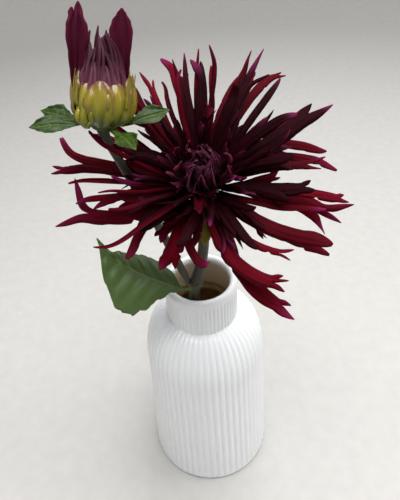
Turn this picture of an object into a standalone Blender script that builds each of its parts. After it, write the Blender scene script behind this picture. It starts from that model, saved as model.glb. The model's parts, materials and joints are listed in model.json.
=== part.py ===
"""Dahlia in a vase: a ribbed white bottle vase that holds a cut dahlia stem with
its side bud and one leaf. Real size, metres, +Z up, the origin at the centre of
the vase's foot, with -Y the side that the flower faces."""

import math

import bmesh
import bpy
from mathutils import Euler, Matrix, Vector

MM = 0.001

# ---- vase ------------------------------------------------------------------
VASE_HEIGHT = 189.0 * MM
FOOT_RADIUS = 47.8 * MM  # widest, at the foot
WALL_TOP_RADIUS = 42.0 * MM  # where the wall turns into the shoulder
SHOULDER_BOTTOM = 118.0 * MM
SHOULDER_TOP = 160.0 * MM
SHOULDER_CORE = 20.0 * MM  # inner end of the shoulder's curve
SHOULDER_POWER = 2.3  # squareness of the shoulder's curve
NECK_RADIUS = 23.8 * MM
MOUTH_RADIUS = 18.8 * MM
WALL = 4.5 * MM
FLOOR_THICKNESS = 6.0 * MM
RIB_COUNT = 56
RIB_DEPTH = 0.8 * MM
FACE_RADIUS = 44.5 * MM  # the flat that the vase stands on

# ---- cut stems ---------------------------------------------------------------
STEM_RADIUS = 3.1 * MM
BUD_STEM_RADIUS = 2.3 * MM
STEM_ROUTE = [  # from the vase's floor to the flower head, in mm
    (-22.0, 4.0, 6.8), (-14.0, -5.0, 100.0), (-4.0, -13.5, 189.0), (-2.2, -13.6, 200.0),
    (1.5, -12.2, 215.0), (3.5, -11.2, 228.0), (4.4, -11.4, 245.0), (4.7, -15.9, 261.0),
]
BUD_STEM_ROUTE = [  # from the node above the mouth to the bud, in mm
    (-7.2, -15.0, 200.0), (-9.2, -15.8, 208.0), (-12.5, -16.4, 220.0), (-18.2, -18.3, 241.0),
    (-25.0, -23.5, 267.0), (-30.6, -26.0, 287.0), (-35.7, -26.9, 302.6), (-37.4, -27.1, 307.8),
]

# ---- flower head ---------------------------------------------------------------
HEAD_CENTRE = (4.7 * MM, -21.7 * MM, 272.0 * MM)
HEAD_TILT = 28.0  # degrees that the head nods towards -Y
FLORET_THICKNESS = 0.9 * MM
FLORET_BASE_WIDTH = 2.8
WIDTH_SCALE = 1.2  # flat width of a floret's strap to its rolled width
SWAY_POWER = 1.5
DROOP_POWER = 1.2
# Whorls of ray florets, from the outermost in. Each is seated on a circle about the receptacle (radius and
# height in mm) at even steps of azimuth. Lean is how far a floret's heading turns by its tip and reach its share
# of the whorl's length, both by azimuth, so that neighbours curve alike and don't cross.
WHORLS = {
    "outer": {
        "radius": 9.5, "height": -2.0, "count": 9, "first": 0, "step": 40, "rise": 5, "droop": -21, "length": 66, "width": 5.2,
        "lean": ((0, -55), (40, -60), (85, -45), (120, -20), (160, 20), (200, -60), (240, 10), (280, 55), (320, 25), (360, -55)),
        "reach": ((0, 1.0), (80, 1.08), (120, 1.1), (200, 1.0), (240, 0.55), (280, 1.05), (320, 0.92), (360, 1.0)),
    },
    "middle": {
        "radius": 9.0, "height": 1.5, "count": 10, "first": 24, "step": 36, "rise": 15, "droop": -9, "length": 66, "width": 4.4,
        "lean": ((0, -10), (25, -50), (60, -35), (95, -5), (130, -40), (168, -30), (204, 65), (240, 75), (276, 80), (312, 40), (360, -10)),
        "reach": ((0, 0.95), (60, 1.03), (130, 1.05), (168, 1.0), (204, 0.7), (240, 0.62), (276, 0.95), (312, 0.86), (360, 0.95)),
    },
    "inner": {
        "radius": 8.0, "height": 5.0, "count": 9, "first": 20, "step": 40, "rise": 30, "droop": 4, "length": 59, "width": 4.2,
        "lean": ((0, 15), (60, 5), (100, 10), (140, -40), (180, -15), (220, -10), (260, -30), (300, 10), (360, 15)),
        "reach": ((0, 0.85), (20, 1.0), (100, 1.05), (140, 0.95), (180, 0.42), (220, 0.62), (260, 0.55), (300, 0.7), (340, 0.74), (360, 0.85)),
    },
    "heart": {
        "radius": 6.5, "height": 8.5, "count": 4, "first": 0, "step": 30, "rise": 46, "droop": 17, "length": 47, "width": 5.2,
        "lean": ((0, -20), (30, -20), (60, -5), (90, 10)),
        "reach": ((0, 0.9), (30, 1.03), (60, 0.85), (90, 1.1)),
    },
}
SCATTER = {"heading": 5.0, "length": 0.06, "droop": 4.0, "width": 0.12}  # how far single florets stray from their whorl
BROAD = {  # the broad florets: width in mm and the share of the length that is cleft in two
    "outer_floret_01": (10.5, 0.34), "outer_floret_06": (8.0, 0.3), "outer_floret_07": (9.0, 0.0), "outer_floret_08": (7.5, 0.0),
    "middle_floret_08": (6.0, 0.15), "middle_floret_09": (7.0, 0.0), "inner_floret_01": (8.0, 0.16), "inner_floret_02": (7.0, 0.3),
    "inner_floret_06": (7.0, 0.0), "inner_floret_09": (7.0, 0.14),
}
EYE_LOBES = 12
CALYX_BRACTS = [(-92.0, -12.0), (-136.0, -10.0), (35.0, -16.0), (130.0, -14.0)]  # azimuth, rise

# ---- bud -------------------------------------------------------------------------
BUD_BASE = (-36.5 * MM, -26.0 * MM, 312.2 * MM)
BUD_LEAN = (-14.0, 11.0)  # degrees about X, then about Y
INNER_BRACTS = (18.5, 19.5, 22.0, 22.5, 21.5, 22.5, 21.5, 18.5)  # lengths in mm, from the front round to the left
OUTER_BRACTS, OUTER_BRACT_FIRST, OUTER_BRACT_STEP = 5, -60.0, 73.0  # loose leaflets
OUTER_BRACT_PAIR = 0.4  # the last one stands only this share of a step past the one before it
OUTER_BRACT_LENGTH = 22.5
OUTER_BRACT_RISE = (8.0, 21.0, 58.0)  # mean rise, swing round the bud, azimuth where they stand highest
OUTER_BRACT_SAG = 4.0  # how much lower each one points at its tip
OUTER_BRACT_ROLL = 45.0  # how far a face rolls towards the front, most at the two sides
OPEN_FLORETS, OPEN_FLORET_FIRST = 2, 186.0  # florets that stand open on opposite sides of the bud
OPEN_FLORET_LENGTH, OPEN_FLORET_RISE, OPEN_FLORET_ROLL = 34.0, 90.0, 68.0

# ---- leaf --------------------------------------------------------------------------
LEAF_MIDRIB = [  # from the clasping base to the tip, in mm
    (-5.6, -19.6, 199.2), (-12.0, -20.2, 201.0), (-20.0, -18.0, 203.5), (-30.0, -14.5, 206.0),
    (-40.0, -10.5, 210.0), (-50.0, -6.5, 217.0), (-58.0, -3.5, 229.5),
]
LEAF_THICKNESS = 0.8 * MM
LEAF_LOWER = (1.0, 2.5, 8.0, 18.5, 25.5, 22.0, 0.9)  # half width in mm along the midrib, lower side
LEAF_UPPER = (0.8, 6.0, 12.5, 12.5, 10.0, 6.0, 0.9)
LEAF_SWEEP = (0.27, 0.10)  # how far the lower and upper halves sweep away from the stem, as a share of their width


# ---- helpers -------------------------------------------------------------------------
def outer_bract(k):
    """Azimuth, rise and roll of an outer bract: the front ones hang, the back ones stand, the side ones show their face."""
    azimuth = OUTER_BRACT_FIRST + OUTER_BRACT_STEP * min(k, OUTER_BRACTS - 2 + OUTER_BRACT_PAIR)
    mean, swing, highest = OUTER_BRACT_RISE
    rise = mean + swing * math.cos(math.radians(azimuth - highest))
    return azimuth, rise, -OUTER_BRACT_ROLL * math.cos(math.radians(azimuth))


def clear_scene():
    for obj in list(bpy.data.objects):
        bpy.data.objects.remove(obj, do_unlink=True)


def make_collection(name):
    found = bpy.data.collections.new(name)
    bpy.context.scene.collection.children.link(found)
    return found


def make_material(name, colour, roughness, metallic=0.0):
    mat = bpy.data.materials.new(name)
    mat.use_nodes = True
    shader = mat.node_tree.nodes["Principled BSDF"]
    shader.inputs["Base Color"].default_value = (*colour, 1.0)
    shader.inputs["Roughness"].default_value = roughness
    shader.inputs["Metallic"].default_value = metallic
    return mat


def smooth_route(points, per_span):
    """Points along a Catmull-Rom curve through the given points, in metres."""
    pts = [Vector(p) * MM for p in points]
    pts = [pts[0] * 2 - pts[1], *pts, pts[-1] * 2 - pts[-2]]
    out = []
    for i in range(1, len(pts) - 2):
        a, b, c, d = pts[i - 1 : i + 3]
        for k in range(per_span):
            t = k / per_span
            out.append(
                0.5 * (2 * b + (c - a) * t + (2 * a - 5 * b + 4 * c - d) * t**2 + (3 * b - a - 3 * c + d) * t**3)
            )
    out.append(pts[-2])
    return out


def table_at(values, t):
    """Smooth value between evenly spaced table entries, t from 0 to 1."""
    x = t * (len(values) - 1)
    i = min(int(x), len(values) - 2)
    s = x - i
    s = s * s * (3 - 2 * s)
    return values[i] * (1 - s) + values[i + 1] * s


def between(values, x):
    """Smooth value between (x, value) pairs."""
    for (a, p), (b, q) in zip(values, values[1:]):
        if x <= b:
            s = min(1.0, max(0.0, (x - a) / (b - a)))
            return p + (q - p) * s * s * (3 - 2 * s)
    return values[-1][1]


def stray(k, kind):
    """A fixed irregularity between -1 and 1 for floret k."""
    v = math.sin(k * 12.9898 + kind * 78.233) * 43758.5453
    return 2 * (v - math.floor(v)) - 1


def ray_florets():
    """Every ray floret, whorl by whorl: its name, whorl, azimuth and the shape of its blade."""
    out = []
    for whorl, w in WHORLS.items():
        for k in range(w["count"]):
            n = len(out) + 1
            name = f"{whorl}_floret_{k + 1:02d}"
            azimuth = (w["first"] + w["step"] * k) % 360
            width, split = BROAD.get(name, (w["width"] * (1 + SCATTER["width"] * stray(n, 4)), 0.0))
            out.append((name, whorl, azimuth, {
                "turn": SCATTER["heading"] * stray(n, 2), "sway": between(w["lean"], azimuth), "rise": w["rise"],
                "droop": w["droop"] + SCATTER["droop"] * stray(n, 3), "width": width * WIDTH_SCALE, "split": split,
                "length": w["length"] * between(w["reach"], azimuth) * (1 + SCATTER["length"] * stray(n, 1)),
                "base": FLORET_BASE_WIDTH, "tip": 0.9, "cup": (-45.0, -45.0),
            }))
    return out


def link(obj, collection, material, parent=None):
    obj.data.materials.append(material)
    collection.objects.link(obj)
    if parent is not None:
        obj.parent = parent
    return obj


def stem_curve(name, route, radius, radii, collection, material):
    curve = bpy.data.curves.new(name, "CURVE")
    curve.dimensions = "3D"
    curve.bevel_depth = radius
    curve.bevel_resolution = 2
    curve.use_fill_caps = True
    points = smooth_route(route, 3)
    spline = curve.splines.new("POLY")
    spline.points.add(len(points) - 1)
    for k, (spot, co) in enumerate(zip(spline.points, points)):
        spot.co = (*co, 1.0)
        spot.radius = table_at(radii, k / (len(points) - 1))
    spline.use_smooth = True
    return link(bpy.data.objects.new(name, curve), collection, material)


def turned(name, profile, steps, collection, material, parent=None):
    """A solid of revolution. The profile runs down its outer side, top to bottom, in mm."""
    mesh = bpy.data.meshes.new(name)
    bm = bmesh.new()
    verts = [bm.verts.new((r * MM, 0.0, z * MM)) for r, z in profile]
    for a, b in zip(verts, verts[1:]):
        bm.edges.new((a, b))
    bm.to_mesh(mesh)
    bm.free()
    obj = link(bpy.data.objects.new(name, mesh), collection, material, parent)
    screw = obj.modifiers.new("turn", "SCREW")
    screw.steps = screw.render_steps = steps
    screw.use_merge_vertices = True
    screw.merge_threshold = 0.00001
    screw.use_smooth_shade = True
    return obj


def blade(name, spec, rows, thickness, collection, material, parent):
    """A strap-like floret or bract: a grid swept along a curved line, with a
    dished or rolled section, given its thickness by Solidify. Its own frame has
    +Y outwards from the axis and +Z up the axis."""
    split = spec.get("split", 0.0)
    cols = 3 if split or spec.get("wide") else 2
    bm = bmesh.new()
    bmesh.ops.create_grid(bm, x_segments=cols, y_segments=rows, size=1.0)
    # centre line
    n = rows
    line = [Vector((0.0, 0.0, 0.0))]
    length = spec["length"] * MM
    for k in range(n):
        line.append(line[-1] + direction(spec, (k + 0.5) / n) * (length / n))
    for vert in bm.verts:
        u = vert.co.x
        t = (vert.co.y + 1) / 2
        k = int(round(t * n))
        width = width_at(spec, t) * MM
        if 0.1 < abs(u) < 0.9:
            gap = 0.34
            if split:
                root = 1 - split
                gap = 0.34 if t < root - 0.2 else 0.10
                if t > root:
                    gap = 0.10 + 0.5 * (t - root) / split
            u = math.copysign(gap, u)
        elif split and t > 1 - split:
            width *= 1 + 0.5 * (t - 1 + split) / split
        heading = direction(spec, t)
        turn = math.radians(turn_at(spec, t))
        side = Vector((math.cos(turn), math.sin(turn), 0.0))
        up = side.cross(heading)
        start, end = spec.get("roll_span", (0.0, 0.33))
        roll = math.radians(spec.get("roll", 0.0)) * min(1.0, max(0.0, (t - start) / (end - start)))
        side, up = side * math.cos(roll) + up * math.sin(roll), up * math.cos(roll) - side * math.sin(roll)
        cup = spec["cup"]
        half = math.radians(cup[0] + (cup[1] - cup[0]) * min(1.0, t * 2))
        bend = width / (2 * abs(half))
        across = bend * math.sin(abs(half) * u)
        rise = math.copysign(bend * (1 - math.cos(half * u)), half)
        vert.co = line[k] + side * across + up * rise
    if split:
        rows_cut = max(1, round(split * n))
        bm.faces.ensure_lookup_table()
        faces = sorted(bm.faces, key=lambda f: f.index)
        cut = [f for i, f in enumerate(faces) if i % cols == cols // 2 and i // cols >= n - rows_cut]
        bmesh.ops.delete(bm, geom=cut, context="FACES")
    mesh = bpy.data.meshes.new(name)
    bm.to_mesh(mesh)
    bm.free()
    mesh.shade_smooth()
    obj = link(bpy.data.objects.new(name, mesh), collection, material, parent)
    solid = obj.modifiers.new("thickness", "SOLIDIFY")
    solid.thickness = thickness
    solid.offset = 0.0
    solid.use_even_offset = False
    return obj


def turn_at(spec, t):
    return spec.get("turn", 0.0) + spec.get("sway", 0.0) * t**SWAY_POWER


def direction(spec, t):
    turn = math.radians(turn_at(spec, t))
    rise = math.radians(spec["rise"] + (spec["droop"] - spec["rise"]) * t ** spec.get("power", DROOP_POWER))
    return Vector((-math.sin(turn) * math.cos(rise), math.cos(turn) * math.cos(rise), math.sin(rise)))


def width_at(spec, t):
    peak, base, tip, most = spec.get("peak", 0.5), spec["base"], spec["tip"], spec["width"]
    if t < peak:
        return base + (most - base) * math.sin(t / peak * math.pi / 2) ** 2
    return tip + (most - tip) * max(0.0, math.cos((t - peak) / (1 - peak) * math.pi / 2)) ** 0.8


def seat(obj, radius, height, azimuth):
    """Places a blade on a circle about its parent's axis, facing outwards."""
    a = math.radians(azimuth)
    obj.location = (radius * MM * math.cos(a), radius * MM * math.sin(a), height * MM)
    obj.rotation_euler = (0.0, 0.0, a - math.pi / 2)


def lobed(name, rings, lobes, depth, steps, collection, material, parent):
    """A closed loft of lobed rings about +Z: rings are (radius, height) in mm."""
    bm = bmesh.new()
    loops = []
    for k, (r, z) in enumerate(rings):
        loop = []
        for j in range(steps):
            a = 2 * math.pi * j / steps
            rr = r * (1 + depth * math.cos(lobes * a + 0.35 * k))
            loop.append(bm.verts.new((rr * MM * math.cos(a), rr * MM * math.sin(a), z * MM)))
        loops.append(loop)
    for low, high in zip(loops, loops[1:]):
        for j in range(steps):
            m = (j + 1) % steps
            bm.faces.new((low[j], low[m], high[m], high[j]))
    bm.faces.new(list(reversed(loops[0])))
    bm.faces.new(loops[-1])
    mesh = bpy.data.meshes.new(name)
    bm.to_mesh(mesh)
    bm.free()
    mesh.shade_smooth()
    return link(bpy.data.objects.new(name, mesh), collection, material, parent)


# ---- vase ------------------------------------------------------------------------------
def shoulder(core, top_radius, bottom, top, start, count):
    """Superellipse from the wall's top to the neck, as (radius, height)."""
    out = []
    for k in range(count + 1):
        a = math.pi / 2 * k / count
        r = core + (top_radius - core) * math.cos(a) ** (2 / SHOULDER_POWER)
        z = bottom + (top - bottom) * math.sin(a) ** (2 / SHOULDER_POWER)
        if r < start:
            break
        out.append((r, z))
    return out


def build_vase(collection, material):
    def wall_radius(z):
        return FOOT_RADIUS + (WALL_TOP_RADIUS - FOOT_RADIUS) * min(z / SHOULDER_BOTTOM, 1.0)

    outer = [(0.0, 0.0), (FACE_RADIUS, 0.0), (46.6 * MM, 0.7 * MM), (wall_radius(3 * MM), 3.0 * MM)]
    outer += shoulder(SHOULDER_CORE, WALL_TOP_RADIUS, SHOULDER_BOTTOM, SHOULDER_TOP, NECK_RADIUS + 0.4 * MM, 8)
    lip = VASE_HEIGHT
    outer += [(NECK_RADIUS + 0.1 * MM, SHOULDER_TOP), (NECK_RADIUS, lip - 8 * MM), (NECK_RADIUS, lip - 4 * MM)]
    outer += [(23.3 * MM, lip - 1.4 * MM), (21.8 * MM, lip), (20.2 * MM, lip - 0.4 * MM), (MOUTH_RADIUS, lip - 3 * MM)]
    inner = [(MOUTH_RADIUS, 164 * MM), (MOUTH_RADIUS + 0.8 * MM, 158 * MM)]
    under = shoulder(
        SHOULDER_CORE - WALL, WALL_TOP_RADIUS - WALL, SHOULDER_BOTTOM, SHOULDER_TOP - WALL, MOUTH_RADIUS + 3 * MM, 5
    )
    inner += list(reversed(under))
    inner += [(wall_radius(0) - WALL - 0.2 * MM, FLOOR_THICKNESS + 5 * MM)]
    inner += [(wall_radius(0) - WALL - 4 * MM, FLOOR_THICKNESS), (0.0, FLOOR_THICKNESS)]
    profile = outer + inner
    # From the inside floor's centre up, over the lip and down the outer side
    points = [(r / MM, z / MM) for r, z in reversed(profile)]
    obj = turned("vase", points, 2 * RIB_COUNT, collection, material)
    # The Screw is made a mesh so that every second column of the outer skin
    # can be sunk between the ribs.
    depsgraph = bpy.context.evaluated_depsgraph_get()
    mesh = bpy.data.meshes.new_from_object(obj.evaluated_get(depsgraph))
    bpy.data.objects.remove(obj)
    bm = bmesh.new()
    bm.from_mesh(mesh)
    bmesh.ops.remove_doubles(bm, verts=bm.verts, dist=0.00001)
    bmesh.ops.recalc_face_normals(bm, faces=bm.faces)
    for vert in bm.verts:
        r = math.hypot(vert.co.x, vert.co.y)
        z = vert.co.z
        if z < 2 * MM or z > 182 * MM or r < 1 * MM:
            continue
        if z < 158.5 * MM and r < wall_radius(z) - WALL * 0.6 and z <= SHOULDER_BOTTOM:
            continue
        if z > SHOULDER_BOTTOM and not on_outer_skin(r, z):
            continue
        column = round(math.atan2(vert.co.y, vert.co.x) / (math.pi / RIB_COUNT))
        if column % 2:
            depth = RIB_DEPTH * (0.7 if r < NECK_RADIUS + 1.5 * MM else 1.0)
            vert.co.x *= 1 - depth / r
            vert.co.y *= 1 - depth / r
    bm.to_mesh(mesh)
    bm.free()
    mesh.shade_smooth()
    mesh.name = "vase"
    vase = bpy.data.objects.new("vase", mesh)
    collection.objects.link(vase)
    return vase


def on_outer_skin(r, z):
    if z > SHOULDER_TOP - 1 * MM:
        return r > MOUTH_RADIUS + 2.5 * MM
    share = (z - SHOULDER_BOTTOM) / (SHOULDER_TOP - SHOULDER_BOTTOM)
    skin = SHOULDER_CORE + (WALL_TOP_RADIUS - SHOULDER_CORE) * max(0.0, 1 - share**SHOULDER_POWER) ** (
        1 / SHOULDER_POWER
    )
    return r > skin - 1.0 * MM


# ---- leaf ------------------------------------------------------------------------------
def build_leaf(collection, material):
    rows, cols = 18, 6
    line = smooth_route(LEAF_MIDRIB, 3)
    bm = bmesh.new()
    bmesh.ops.create_grid(bm, x_segments=cols, y_segments=rows, size=1.0)
    lower_way = Vector((0.05, -0.66, -0.75)).normalized()
    upper_way = Vector((0.0, 0.88, 0.47)).normalized()
    for vert in bm.verts:
        u = vert.co.x
        t = (vert.co.y + 1) / 2
        spot = line[int(round(t * rows))]
        s = max(0.0, (t - 0.14) / 0.86)  # the blade starts past the stalk
        half = table_at(LEAF_LOWER if u > 0 else LEAF_UPPER, s) * MM
        half = max(half, 1.2 * MM * (1 - t))
        way = lower_way if u > 0 else upper_way
        bulge = Vector((0.0, -0.6, 0.8)) * (0.10 * half * math.sin(abs(u) * math.pi))
        sweep = Vector((-(LEAF_SWEEP[0] if u > 0 else LEAF_SWEEP[1]) * half * abs(u), 0.0, 0.0))
        vert.co = spot + way * (half * abs(u)) + bulge + sweep
    mesh = bpy.data.meshes.new("leaf")
    bm.to_mesh(mesh)
    bm.free()
    mesh.shade_smooth()
    obj = link(bpy.data.objects.new("leaf", mesh), collection, material)
    solid = obj.modifiers.new("thickness", "SOLIDIFY")
    solid.thickness = LEAF_THICKNESS
    solid.offset = 0.0
    return obj


# ---- assembly ----------------------------------------------------------------------------
def main():
    clear_scene()
    parts = make_collection("dahlia_in_vase")
    white = make_material("white_glaze", (0.86, 0.87, 0.88), 0.35)
    stem_green = make_material("stem_green", (0.10, 0.11, 0.08), 0.55)
    leaf_green = make_material("leaf_green", (0.05, 0.12, 0.04), 0.5)
    bract_green = make_material("bract_green", (0.10, 0.25, 0.05), 0.45)
    bract_yellow = make_material("bract_yellow", (0.42, 0.40, 0.06), 0.35)
    crimson = make_material("floret_crimson", (0.16, 0.004, 0.02), 0.6)
    maroon = make_material("floret_maroon", (0.045, 0.002, 0.008), 0.7)
    purple = make_material("bud_purple", (0.13, 0.03, 0.06), 0.6)

    vase = build_vase(parts, white)
    vase.data.materials.clear()
    vase.data.materials.append(white)

    stem_curve("main_stem", STEM_ROUTE, STEM_RADIUS, (1.06, 1.05, 1.05, 1.12, 1.0, 1.0, 1.0), parts, stem_green)
    stem_curve("bud_stem", BUD_STEM_ROUTE, BUD_STEM_RADIUS, (0.6, 1.0, 1.0, 0.92, 0.85, 0.8), parts, stem_green)
    build_leaf(parts, leaf_green)

    # Flower head: everything is set about the head's own axis
    head = bpy.data.objects.new("flower_head", None)
    parts.objects.link(head)
    head.location = HEAD_CENTRE
    head.rotation_euler = (math.radians(HEAD_TILT), 0.0, 0.0)
    calyx = [
        (0, 10.0), (4.2, 10.0), (5.4, 8.4), (6.8, 5.2), (7.8, 1.6), (8.3, -1.4), (8.2, -3.2), (7.2, -4.4),
        (7.0, -6.4), (5.4, -9.0), (3.4, -11.6), (0, -11.6),
    ]
    turned("flower_calyx", calyx, 20, parts, bract_green, head)
    for k, (azimuth, rise) in enumerate(CALYX_BRACTS, 1):
        spec = {"length": 19.0, "width": 6.5, "base": 3.0, "tip": 0.9, "rise": rise, "droop": rise - 18.0, "cup": (30.0, 30.0)}
        obj = blade(f"flower_bract_{k}", spec, 5, 0.9 * MM, parts, bract_yellow, head)
        seat(obj, 7.9, -5.6, azimuth)
    for name, whorl, azimuth, spec in ray_florets():
        colour = crimson if whorl in ("outer", "middle") else maroon
        obj = blade(name, spec, 12, FLORET_THICKNESS, parts, colour, head)
        seat(obj, WHORLS[whorl]["radius"], WHORLS[whorl]["height"], azimuth)
    eye = [(3.8, 10.4), (7.0, 13.0), (9.4, 17.0), (11.6, 22.0), (12.4, 26.0), (10.4, 30.0), (5.8, 32.8), (1.6, 33.8)]
    lobed("eye_florets", eye, EYE_LOBES, 0.06, 3 * EYE_LOBES, parts, maroon, head)

    # Bud: set about its own axis
    bud = bpy.data.objects.new("bud_head", None)
    parts.objects.link(bud)
    bud.location = BUD_BASE
    bud.rotation_euler = (math.radians(BUD_LEAN[0]), math.radians(BUD_LEAN[1]), 0.0)
    base = [(0, 3.4), (6.2, 3.2), (7.4, 1.4), (7.3, -1.4), (5.0, -3.0), (2.2, -3.6), (0, -3.6)]
    turned("bud_calyx", base, 20, parts, bract_green, bud)
    for k, length in enumerate(INNER_BRACTS):
        spec = {
            "length": length, "width": 4.6 + 0.23 * length, "base": 5.4, "tip": 2.6, "rise": 20.0, "droop": 106.0, "power": 0.5,
            "cup": (16.0, 22.0), "peak": 0.5, "wide": True,
        }
        obj = blade(f"bud_inner_bract_{k + 1}", spec, 8, 1.4 * MM, parts, bract_yellow, bud)
        seat(obj, 8.2, 1.8, -95.0 + 360.0 / len(INNER_BRACTS) * k)
    for k in range(OUTER_BRACTS):
        azimuth, rise, roll = outer_bract(k)
        spec = {
            "length": OUTER_BRACT_LENGTH, "width": 8.5, "base": 3.4, "tip": 1.0, "rise": rise, "droop": rise - OUTER_BRACT_SAG,
            "cup": (20.0, 26.0), "peak": 0.62, "roll": roll,
        }
        obj = blade(f"bud_outer_bract_{k + 1}", spec, 8, 0.9 * MM, parts, bract_green, bud)
        seat(obj, 8.0, -1.4, azimuth)
    for k in range(OPEN_FLORETS):
        side = 1.0 if k % 2 == 0 else -1.0
        spec = {
            "length": OPEN_FLORET_LENGTH, "width": 13.0, "base": 3.6, "tip": 1.4, "rise": OPEN_FLORET_RISE, "droop": OPEN_FLORET_RISE,
            "cup": (14.0, 50.0), "peak": 0.7, "roll": side * OPEN_FLORET_ROLL, "roll_span": (0.3, 0.65),
        }
        obj = blade(f"bud_open_floret_{k + 1}", spec, 10, 0.8 * MM, parts, maroon, bud)
        seat(obj, 11.0, 11.4, OPEN_FLORET_FIRST + 360.0 / OPEN_FLORETS * k)
    cone = [(4.4, 4.2), (8.2, 7.6), (9.4, 12.0), (9.0, 17.5), (6.6, 25.0), (3.6, 31.0), (1.0, 36.0)]
    lobed("bud_cone", cone, 8, 0.07, 24, parts, purple, bud)


main()
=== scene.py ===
"""The looks of the dahlia in its vase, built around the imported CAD."""
import json
import math

import bpy
import numpy as np
from mathutils import Matrix, Vector

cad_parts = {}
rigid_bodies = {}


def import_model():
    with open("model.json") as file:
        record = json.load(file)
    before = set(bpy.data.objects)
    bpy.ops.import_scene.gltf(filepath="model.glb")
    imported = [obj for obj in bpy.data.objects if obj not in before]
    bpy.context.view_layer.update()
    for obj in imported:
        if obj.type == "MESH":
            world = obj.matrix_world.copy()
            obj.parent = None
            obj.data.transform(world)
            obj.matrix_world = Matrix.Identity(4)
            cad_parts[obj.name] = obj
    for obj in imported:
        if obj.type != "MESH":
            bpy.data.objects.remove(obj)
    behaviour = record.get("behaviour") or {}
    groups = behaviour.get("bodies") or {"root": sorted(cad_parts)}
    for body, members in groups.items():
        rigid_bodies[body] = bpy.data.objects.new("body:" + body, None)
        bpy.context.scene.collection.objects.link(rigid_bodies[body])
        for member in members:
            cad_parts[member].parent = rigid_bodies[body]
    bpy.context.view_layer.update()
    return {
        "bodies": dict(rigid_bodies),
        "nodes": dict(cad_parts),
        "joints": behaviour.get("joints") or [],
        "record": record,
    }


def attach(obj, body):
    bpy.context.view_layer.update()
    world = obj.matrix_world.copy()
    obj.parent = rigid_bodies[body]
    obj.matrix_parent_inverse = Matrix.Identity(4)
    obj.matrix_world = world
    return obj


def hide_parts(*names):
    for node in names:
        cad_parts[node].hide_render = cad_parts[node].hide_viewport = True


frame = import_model()
MM = 0.001
rng = np.random.default_rng(7)


# =====================================================================  camera, floor, light
def camera():
    right = Vector((0.99753, -0.04665, -0.05259))
    up = Vector((0.07030, 0.66192, 0.74627))
    ahead = Vector((0.0, 0.74812, -0.66357))
    at = Vector((1.109, -217.628, 405.100)) * MM
    data = bpy.data.cameras.new("camera")
    data.sensor_fit = "AUTO"
    data.sensor_width = 36.0
    data.lens = 478.145 * 36.0 / 500.0
    data.clip_start = 0.01
    obj = bpy.data.objects.new("camera", data)
    obj.matrix_world = Matrix((
        (right.x, up.x, -ahead.x, at.x), (right.y, up.y, -ahead.y, at.y),
        (right.z, up.z, -ahead.z, at.z), (0, 0, 0, 1)))
    bpy.context.scene.collection.objects.link(obj)
    bpy.context.scene.camera = obj


def area(name, at, to, size, power, colour=(1, 1, 1)):
    data = bpy.data.lights.new(name, "AREA")
    data.shape = "RECTANGLE"
    data.size, data.size_y = size
    data.energy = power
    data.color = colour
    obj = bpy.data.objects.new(name, data)
    obj.location = at
    obj.rotation_euler = (Vector(to) - Vector(at)).to_track_quat("-Z", "Y").to_euler()
    bpy.context.scene.collection.objects.link(obj)


def studio():
    world = bpy.data.worlds.new("studio")
    world.use_nodes = True
    back = world.node_tree.nodes["Background"]
    back.inputs["Color"].default_value = (0.93, 0.96, 1.0, 1)
    back.inputs["Strength"].default_value = 0.25
    bpy.context.scene.world = world
    # a broad soft source overhead, weaker ones at the right, front left and behind
    area("overhead", (0.12, -0.10, 1.25), (0.0, 0.0, 0.15), (1.0, 0.9), 28.5, (1.0, 0.995, 0.985))
    area("side", (1.15, -0.05, 0.45), (0.0, 0.0, 0.12), (0.4, 0.8), 3.3, (1.0, 0.99, 0.98))
    area("front", (-0.75, -0.85, 0.75), (0.0, 0.0, 0.26), (0.8, 0.8), 1.2, (0.98, 0.99, 1.0))
    area("back", (0.3, 0.55, 1.1), (0.0, 0.0, 0.25), (0.8, 0.8), 5.0, (0.98, 0.99, 1.0))
    bpy.context.scene.view_settings.view_transform = "Standard"
    bpy.context.scene.view_settings.look = "None"

    # floor that sweeps up all round into a plain backdrop
    rings = [(0.16 * k, 0.0) for k in range(1, 8)]
    rings += [(1.12 + 0.60 * math.sin(math.pi / 2 * k / 16), 0.60 * (1 - math.cos(math.pi / 2 * k / 16))) for k in range(1, 17)]
    rings += [(1.72, 0.60 + 0.25 * k) for k in range(1, 6)]
    n = 96
    verts = [(0.0, 0.0, 0.0)] + [(r * math.cos(2 * math.pi * j / n), r * math.sin(2 * math.pi * j / n), z) for r, z in rings for j in range(n)]
    faces = [(0, 1 + j, 1 + (j + 1) % n) for j in range(n)]
    for k in range(len(rings) - 1):
        for j in range(n):
            i, i2 = 1 + k * n + j, 1 + k * n + (j + 1) % n
            faces.append((i, i + n, i2 + n, i2))
    mesh = bpy.data.meshes.new("studio_floor")
    mesh.from_pydata(verts, [], faces)
    mesh.shade_smooth()
    floor = bpy.data.objects.new("studio_floor", mesh)
    bpy.context.scene.collection.objects.link(floor)
    m = Mat("floor_paper", rough=0.85, specular=0.2)
    n1 = m.noise(m.coord("Object"), 90.0, 3.0)
    m.to("Base Color", m.ramp(n1, [(0.3, (0.400, 0.392, 0.378)), (0.7, (0.430, 0.421, 0.406))]))
    mesh.materials.append(m.mat)


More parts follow.
